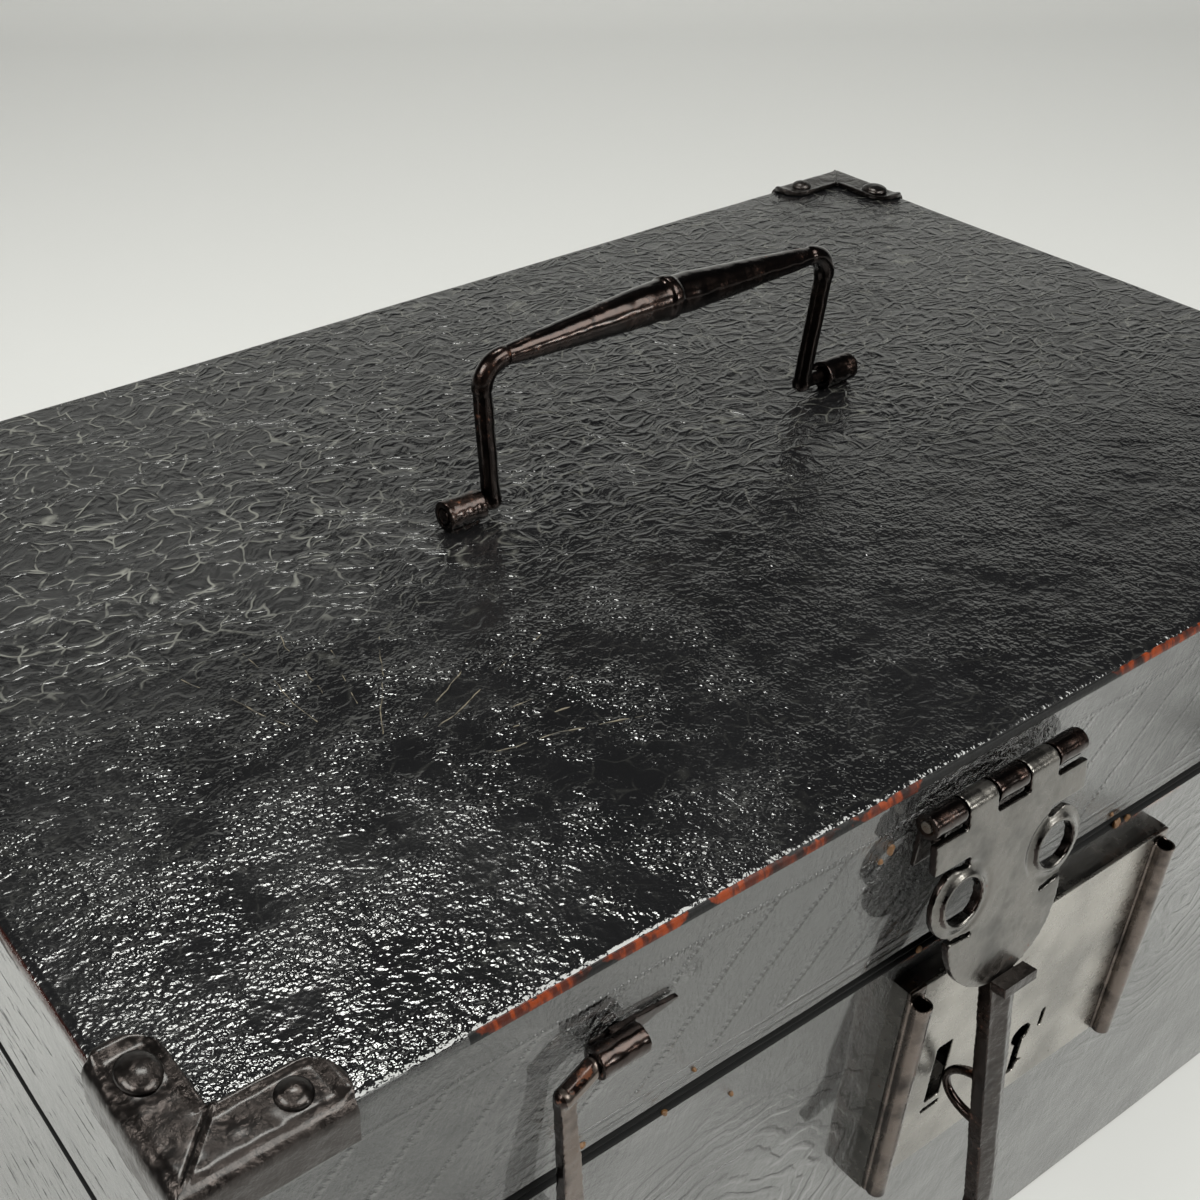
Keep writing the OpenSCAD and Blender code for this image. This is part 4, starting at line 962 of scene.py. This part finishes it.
def build_hasp(sizes):
    """The hinge, leaf, bar and loop of the hasp."""
    voxel = sizes.voxel / MM
    forged("hasp_hinge", "hasp_fixed_leaf", "lid", "dark_iron", voxel, [(4, 0.15, 41), (1.3, 0.08, 42)])
    for name, node, face, change, dents in (
            ("hasp_plate", "hasp_leaf", "grey_iron", rimmed_ears, [(8, 0.2, 43), (1.5, 0.06, 44)]),
            ("hasp_tongue", "hasp_bar", "corner_iron", ridged_bar, [(6, 0.25, 45), (1.5, 0.08, 46)])):
        mesh = on_hasp(dented(wrought(solid_mesh(node), voxel), dents), change)
        # Faces that look left take the dark iron as painted shade
        piece(name, mesh, "hasp", [face, "dark_iron"], [node], shaded_flank(mesh))
    eye = dented(hasp_ring(), [(4, 0.2, 47)])
    piece("hasp_eye", eye, "hasp", ["dark_iron"], ["hasp_loop"])
    forged("hasp_nail_heads", "hasp_nails", "lid", "dark_iron", voxel, [(3, 0.1, 48)])


# How far the rolled sides of the lock's face reach in from the edges of the lock case
ROLL = 5.3


def build_lock():
    """The face of the lock is one sheet, its sides rolled forward into brown, less rubbed tubes."""
    points, faces = dented(wrought(solid_mesh("lock_plate"), 0.28, 2), [(9, 0.15, 51)])
    first = points[[face[0] for face in faces], 0]
    from_side = np.minimum(first - LOCK_LOW[0], LOCK_HIGH[0] - first)
    piece("lock_face", (points, faces), "body",
          ["bright_iron", "brown_iron"], ["lock_plate"], (from_side < ROLL).astype(int))


# The latches: the middle of the leg, where the arm begins to slope, and the heights between which it
# comes down to the leg
LEG_X, ELBOW_START, ELBOW_LOW, ELBOW_HIGH = 128.5, 122.0, 172.0, 186.0


def bent_latch(mesh, side):
    """Slopes the arm of a latch down to its elbow and slims its leg."""
    points, faces = mesh
    out = side * points[:, 0]
    beyond = np.clip((out - ELBOW_START) / (LEG_X - ELBOW_START), 0, 1)
    high = np.clip((points[:, 2] - ELBOW_LOW) / (ELBOW_HIGH - ELBOW_LOW), 0, 1)
    leg = (out > ELBOW_START + 0.5) & (points[:, 2] < ELBOW_HIGH + 4.5)
    points[leg, 0] = side * (LEG_X + (out[leg] - LEG_X) * 0.84)
    points[:, 2] -= 4.3 * beyond * high ** 2 * (3 - 2 * high)
    return points, faces


def build_latches(sizes):
    """The hook latches with their staples, and the catches that they drop over."""
    voxel = sizes.voxel / MM
    for side, sign in zip(SIDES, (-1, 1)):
        mesh = dented(wrought(solid_mesh(f"latch_{side}"), voxel), [(5, 0.2, 61), (1.4, 0.1, 62)])
        mesh = bent_latch(mesh, sign)
        # Faces of the latch that look left take the dark iron as painted shade
        piece(f"latch_{side}_iron", mesh, f"latch_{side}",
              ["brown_iron", "dark_iron"], [f"latch_{side}"], shaded_flank(mesh))
        forged(f"latch_staple_{side}_iron", f"latch_staple_{side}", "lid", "dark_iron", voxel,
               [(4, 0.2, 63), (1.3, 0.1, 64)])
    forged("catches", "latch_catches", "body", "dark_iron", voxel, [(3, 0.15, 65)])


def build_hinges(sizes):
    """The leaves of the two back hinges."""
    voxel = sizes.voxel / MM
    forged("hinge_leaves_below", "hinge_body_leaves", "body", "dark_iron", voxel, [(5, 0.15, 71)])
    forged("hinge_leaves_above", "hinge_lid_leaves", "lid", "dark_iron", voxel, [(5, 0.15, 72)])


def dress_solids():
    """Materials for the solids that show as they are."""
    for node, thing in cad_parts.items():
        name = "dark_iron"
        if node.startswith(("body_", "lid_", "inner_")):
            name = "softwood"
        elif node in ("lock_bolt", "lock_spring", "hasp_pin", "hinge_pins"):
            name = "bright_iron"
        elif node == "lock_case":
            name = "grey_iron"
        thing.data.materials.clear()
        thing.data.materials.append(stock(name))


# Stage

# The photograph's camera, fitted to the corners of the lid: place, angles, lens in millimetres, shift
CAMERA_PLACE = (-245.6, -262.8, 415.1)
CAMERA_TURN, CAMERA_DIP, CAMERA_ROLL = [math.radians(angle) for angle in (34.72, 37.05, 0.80)]
CAMERA_LENS = 47.31
CAMERA_SHIFT = (0.128, 0.066)
# Soft lights: azimuth from +Y toward +X and elevation in degrees, then distance, width and height in
# millimetres, watts, and the place they aim at
LIGHTS = {"high_back": (18, 68, 1500, 460, 230, 7.4, (0, 0, 200)),
          "front_key": (160, 50, 1700, 1300, 920, 30.5, (0, 0, 200)),
          "front_low": (150, 13, 1300, 220, 130, 2.6, (0, 0, 200)),
          "left_fill": (-85, 58, 1200, 700, 500, 14, (-420, 0, 0))}
LIGHT_COLOUR = (0.995, 1.0, 0.95)
# The backdrop: how far it reaches, how far behind the case its wall stands, the radius it bends up
# with, and the points of the wall's upper edge
REACH, WALL, BEND = 2400.0, 1500.0, 300.0
WALL_TOP = ((-REACH, 1480.0), (-700.0, 1480.0), (-400.0, 1380.0), (-200.0, 1200.0), (0.0, 1020.0),
            (300.0, 1000.0), (600.0, 1080.0), (REACH, 1080.0))


def camera_axes():
    """Right, up and backward directions of the camera."""
    turn, dip, roll = CAMERA_TURN, CAMERA_DIP, CAMERA_ROLL
    ahead = Vector((math.sin(turn) * math.cos(dip), math.cos(turn) * math.cos(dip), -math.sin(dip)))
    right = Vector((math.cos(turn), -math.sin(turn), 0))
    down = ahead.cross(right)
    rolled = math.cos(roll) * right + math.sin(roll) * down
    return rolled, -(math.cos(roll) * down - math.sin(roll) * right), -ahead


def soft_light(name, azimuth, elevation, distance, width, height, power, aim):
    """Rectangular soft light that aims at a place from one direction."""
    light = bpy.data.lights.new(name, "AREA")
    light.shape, light.size, light.size_y = "RECTANGLE", width * MM, height * MM
    light.energy, light.color = power, LIGHT_COLOUR
    thing = bpy.data.objects.new(name, light)
    a, e = math.radians(azimuth), math.radians(elevation)
    way = Vector((math.sin(a) * math.cos(e), math.cos(a) * math.cos(e), math.sin(e)))
    thing.location = (Vector(aim) + way * distance) * MM
    thing.rotation_mode = "QUATERNION"
    thing.rotation_quaternion = way.to_track_quat("Z", "Y")
    bpy.context.collection.objects.link(thing)


def build_backdrop(colours):
    """Pale floor that bends up into a wall behind the case."""
    material, _, surface, _, _ = start_material("paper_floor")
    fill(surface, {"Base Color": colours.floor, "Roughness": 0.6})
    profile = [(-REACH, 0.0)] + [(WALL - BEND + BEND * math.sin(t), BEND - BEND * math.cos(t))
                                 for t in np.linspace(0, math.pi / 2, 16)]
    rows = [[(x, away, up) for x, _ in WALL_TOP] for away, up in profile]
    rows.append([(x, WALL, up) for x, up in WALL_TOP])
    turn = Matrix.Rotation(-CAMERA_TURN, 4, "Z")
    n = len(WALL_TOP)
    data = bpy.data.meshes.new("floor")
    data.from_pydata([(turn @ Vector(point) * MM)[:] for row in rows for point in row], [],
                     [(n * i + j, n * i + j + 1, n * i + n + j + 1, n * i + n + j)
                      for i in range(len(rows) - 1) for j in range(n - 1)])
    data.polygons.foreach_set("use_smooth", [True] * len(data.polygons))
    data.materials.append(material)
    floor = bpy.data.objects.new("floor", data)
    bpy.context.collection.objects.link(floor)


def build_stage(colours):
    """Pale backdrop, soft lights and the photograph's camera."""
    build_backdrop(colours)
    world = bpy.context.scene.world or bpy.data.worlds.new("room")
    bpy.context.scene.world = world
    world.use_nodes = True
    background = next(n for n in world.node_tree.nodes if n.type == "BACKGROUND")
    fill(background, {"Color": linear("#8a8c90"), "Strength": 0.1})
    for name, values in LIGHTS.items():
        soft_light(name, *values)
    camera = bpy.data.cameras.new("camera")
    camera.sensor_width, camera.lens = 36.0, CAMERA_LENS
    camera.shift_x, camera.shift_y = CAMERA_SHIFT
    camera.clip_start, camera.clip_end = 0.01, 20
    thing = bpy.data.objects.new("camera", camera)
    thing.matrix_world = (Matrix.Translation(Vector(CAMERA_PLACE) * MM)
                          @ Matrix(camera_axes()).transposed().to_4x4())
    bpy.context.collection.objects.link(thing)
    bpy.context.scene.camera = thing
    bpy.context.scene.view_settings.view_transform = "Standard"


# Add-on


class BuildCracks(bpy.types.Operator):
    """Draws the drying cracks in the lacquer on the lid"""
    bl_idname = "messenger_case.cracks"
    bl_label = "Drying cracks"
    bl_options = {"REGISTER", "UNDO"}

    def execute(self, context):
        build_cracks()
        return {"FINISHED"}


class BuildCrumbs(bpy.types.Operator):
    """Scatters the crumbs of old glue by the joint line"""
    bl_idname = "messenger_case.crumbs"
    bl_label = "Crumbs of glue"
    bl_options = {"REGISTER", "UNDO"}

    def execute(self, context):
        build_crumbs()
        return {"FINISHED"}


class BuildLidCovering(bpy.types.Operator):
    """Covers the lid with lacquered hide"""
    bl_idname = "messenger_case.lid_covering"
    bl_label = "Lid covering"
    bl_options = {"REGISTER", "UNDO"}

    def execute(self, context):
        build_lid_covering(context.scene.case_sizes)
        return {"FINISHED"}


class BuildBodyCovering(bpy.types.Operator):
    """Covers the body with lacquered hide"""
    bl_idname = "messenger_case.body_covering"
    bl_label = "Body covering"
    bl_options = {"REGISTER", "UNDO"}

    def execute(self, context):
        build_body_covering(context.scene.case_sizes)
        return {"FINISHED"}


class BuildCornerIrons(bpy.types.Operator):
    """Makes the four corner irons and their nails"""
    bl_idname = "messenger_case.corner_irons"
    bl_label = "Corner irons"
    bl_options = {"REGISTER", "UNDO"}

    def execute(self, context):
        build_corner_irons(context.scene.case_sizes)
        return {"FINISHED"}


class BuildHandle(bpy.types.Operator):
    """Forges the bail handle"""
    bl_idname = "messenger_case.handle"
    bl_label = "Handle"
    bl_options = {"REGISTER", "UNDO"}

    def execute(self, context):
        build_handle()
        return {"FINISHED"}


class BuildHandleStaples(bpy.types.Operator):
    """Rolls the two staples of the handle"""
    bl_idname = "messenger_case.handle_staples"
    bl_label = "Handle staples"
    bl_options = {"REGISTER", "UNDO"}

    def execute(self, context):
        build_handle_staples(context.scene.case_sizes)
        return {"FINISHED"}


class BuildHasp(bpy.types.Operator):
    """Forges the hasp: hinge, leaf, bar and loop"""
    bl_idname = "messenger_case.hasp"
    bl_label = "Hasp"
    bl_options = {"REGISTER", "UNDO"}

    def execute(self, context):
        build_hasp(context.scene.case_sizes)
        return {"FINISHED"}


class BuildLock(bpy.types.Operator):
    """Makes the face of the lock"""
    bl_idname = "messenger_case.lock"
    bl_label = "Lock"
    bl_options = {"REGISTER", "UNDO"}

    def execute(self, context):
        build_lock()
        return {"FINISHED"}


class BuildLatches(bpy.types.Operator):
    """Forges the two hook latches, their staples and catches"""
    bl_idname = "messenger_case.latches"
    bl_label = "Latches"
    bl_options = {"REGISTER", "UNDO"}

    def execute(self, context):
        build_latches(context.scene.case_sizes)
        return {"FINISHED"}


class BuildHinges(bpy.types.Operator):
    """Forges the back hinges"""
    bl_idname = "messenger_case.hinges"
    bl_label = "Back hinges"
    bl_options = {"REGISTER", "UNDO"}

    def execute(self, context):
        build_hinges(context.scene.case_sizes)
        return {"FINISHED"}


class DressSolids(bpy.types.Operator):
    """Gives wood and iron to the solids that show as they are"""
    bl_idname = "messenger_case.solids"
    bl_label = "Boards and hidden iron"
    bl_options = {"REGISTER", "UNDO"}

    def execute(self, context):
        dress_solids()
        return {"FINISHED"}


class BuildStage(bpy.types.Operator):
    """Sets up floor, light and camera"""
    bl_idname = "messenger_case.stage"
    bl_label = "Stage"
    bl_options = {"REGISTER", "UNDO"}

    def execute(self, context):
        build_stage(context.scene.case_colours)
        return {"FINISHED"}


STEPS = (DressSolids, BuildCracks, BuildCrumbs, BuildLidCovering, BuildBodyCovering, BuildCornerIrons,
         BuildHandle, BuildHandleStaples, BuildHasp, BuildLock, BuildLatches, BuildHinges, BuildStage)


class CasePanel(bpy.types.Panel):
    """Build steps of the messenger case"""
    bl_idname = "VIEW3D_PT_messenger_case"
    bl_label = "Messenger Case"
    bl_space_type = "VIEW_3D"
    bl_region_type = "UI"
    bl_category = "Messenger Case"

    def draw(self, context):
        for step in STEPS:
            self.layout.operator(step.bl_idname)
        for group in (context.scene.case_sizes, context.scene.case_colours):
            for name in group.__annotations__:
                self.layout.prop(group, name)


CLASSES = (CaseSizes, CaseColours, *STEPS, CasePanel)


def register():
    for each in CLASSES:
        bpy.utils.register_class(each)
    bpy.types.Scene.case_sizes = PointerProperty(type=CaseSizes)
    bpy.types.Scene.case_colours = PointerProperty(type=CaseColours)


def unregister():
    del bpy.types.Scene.case_colours
    del bpy.types.Scene.case_sizes
    for each in reversed(CLASSES):
        bpy.utils.unregister_class(each)


def main():
    register()
    for step in STEPS:
        getattr(bpy.ops.messenger_case, step.bl_idname.split(".")[1])()


if __name__ == "__main__":
    main()
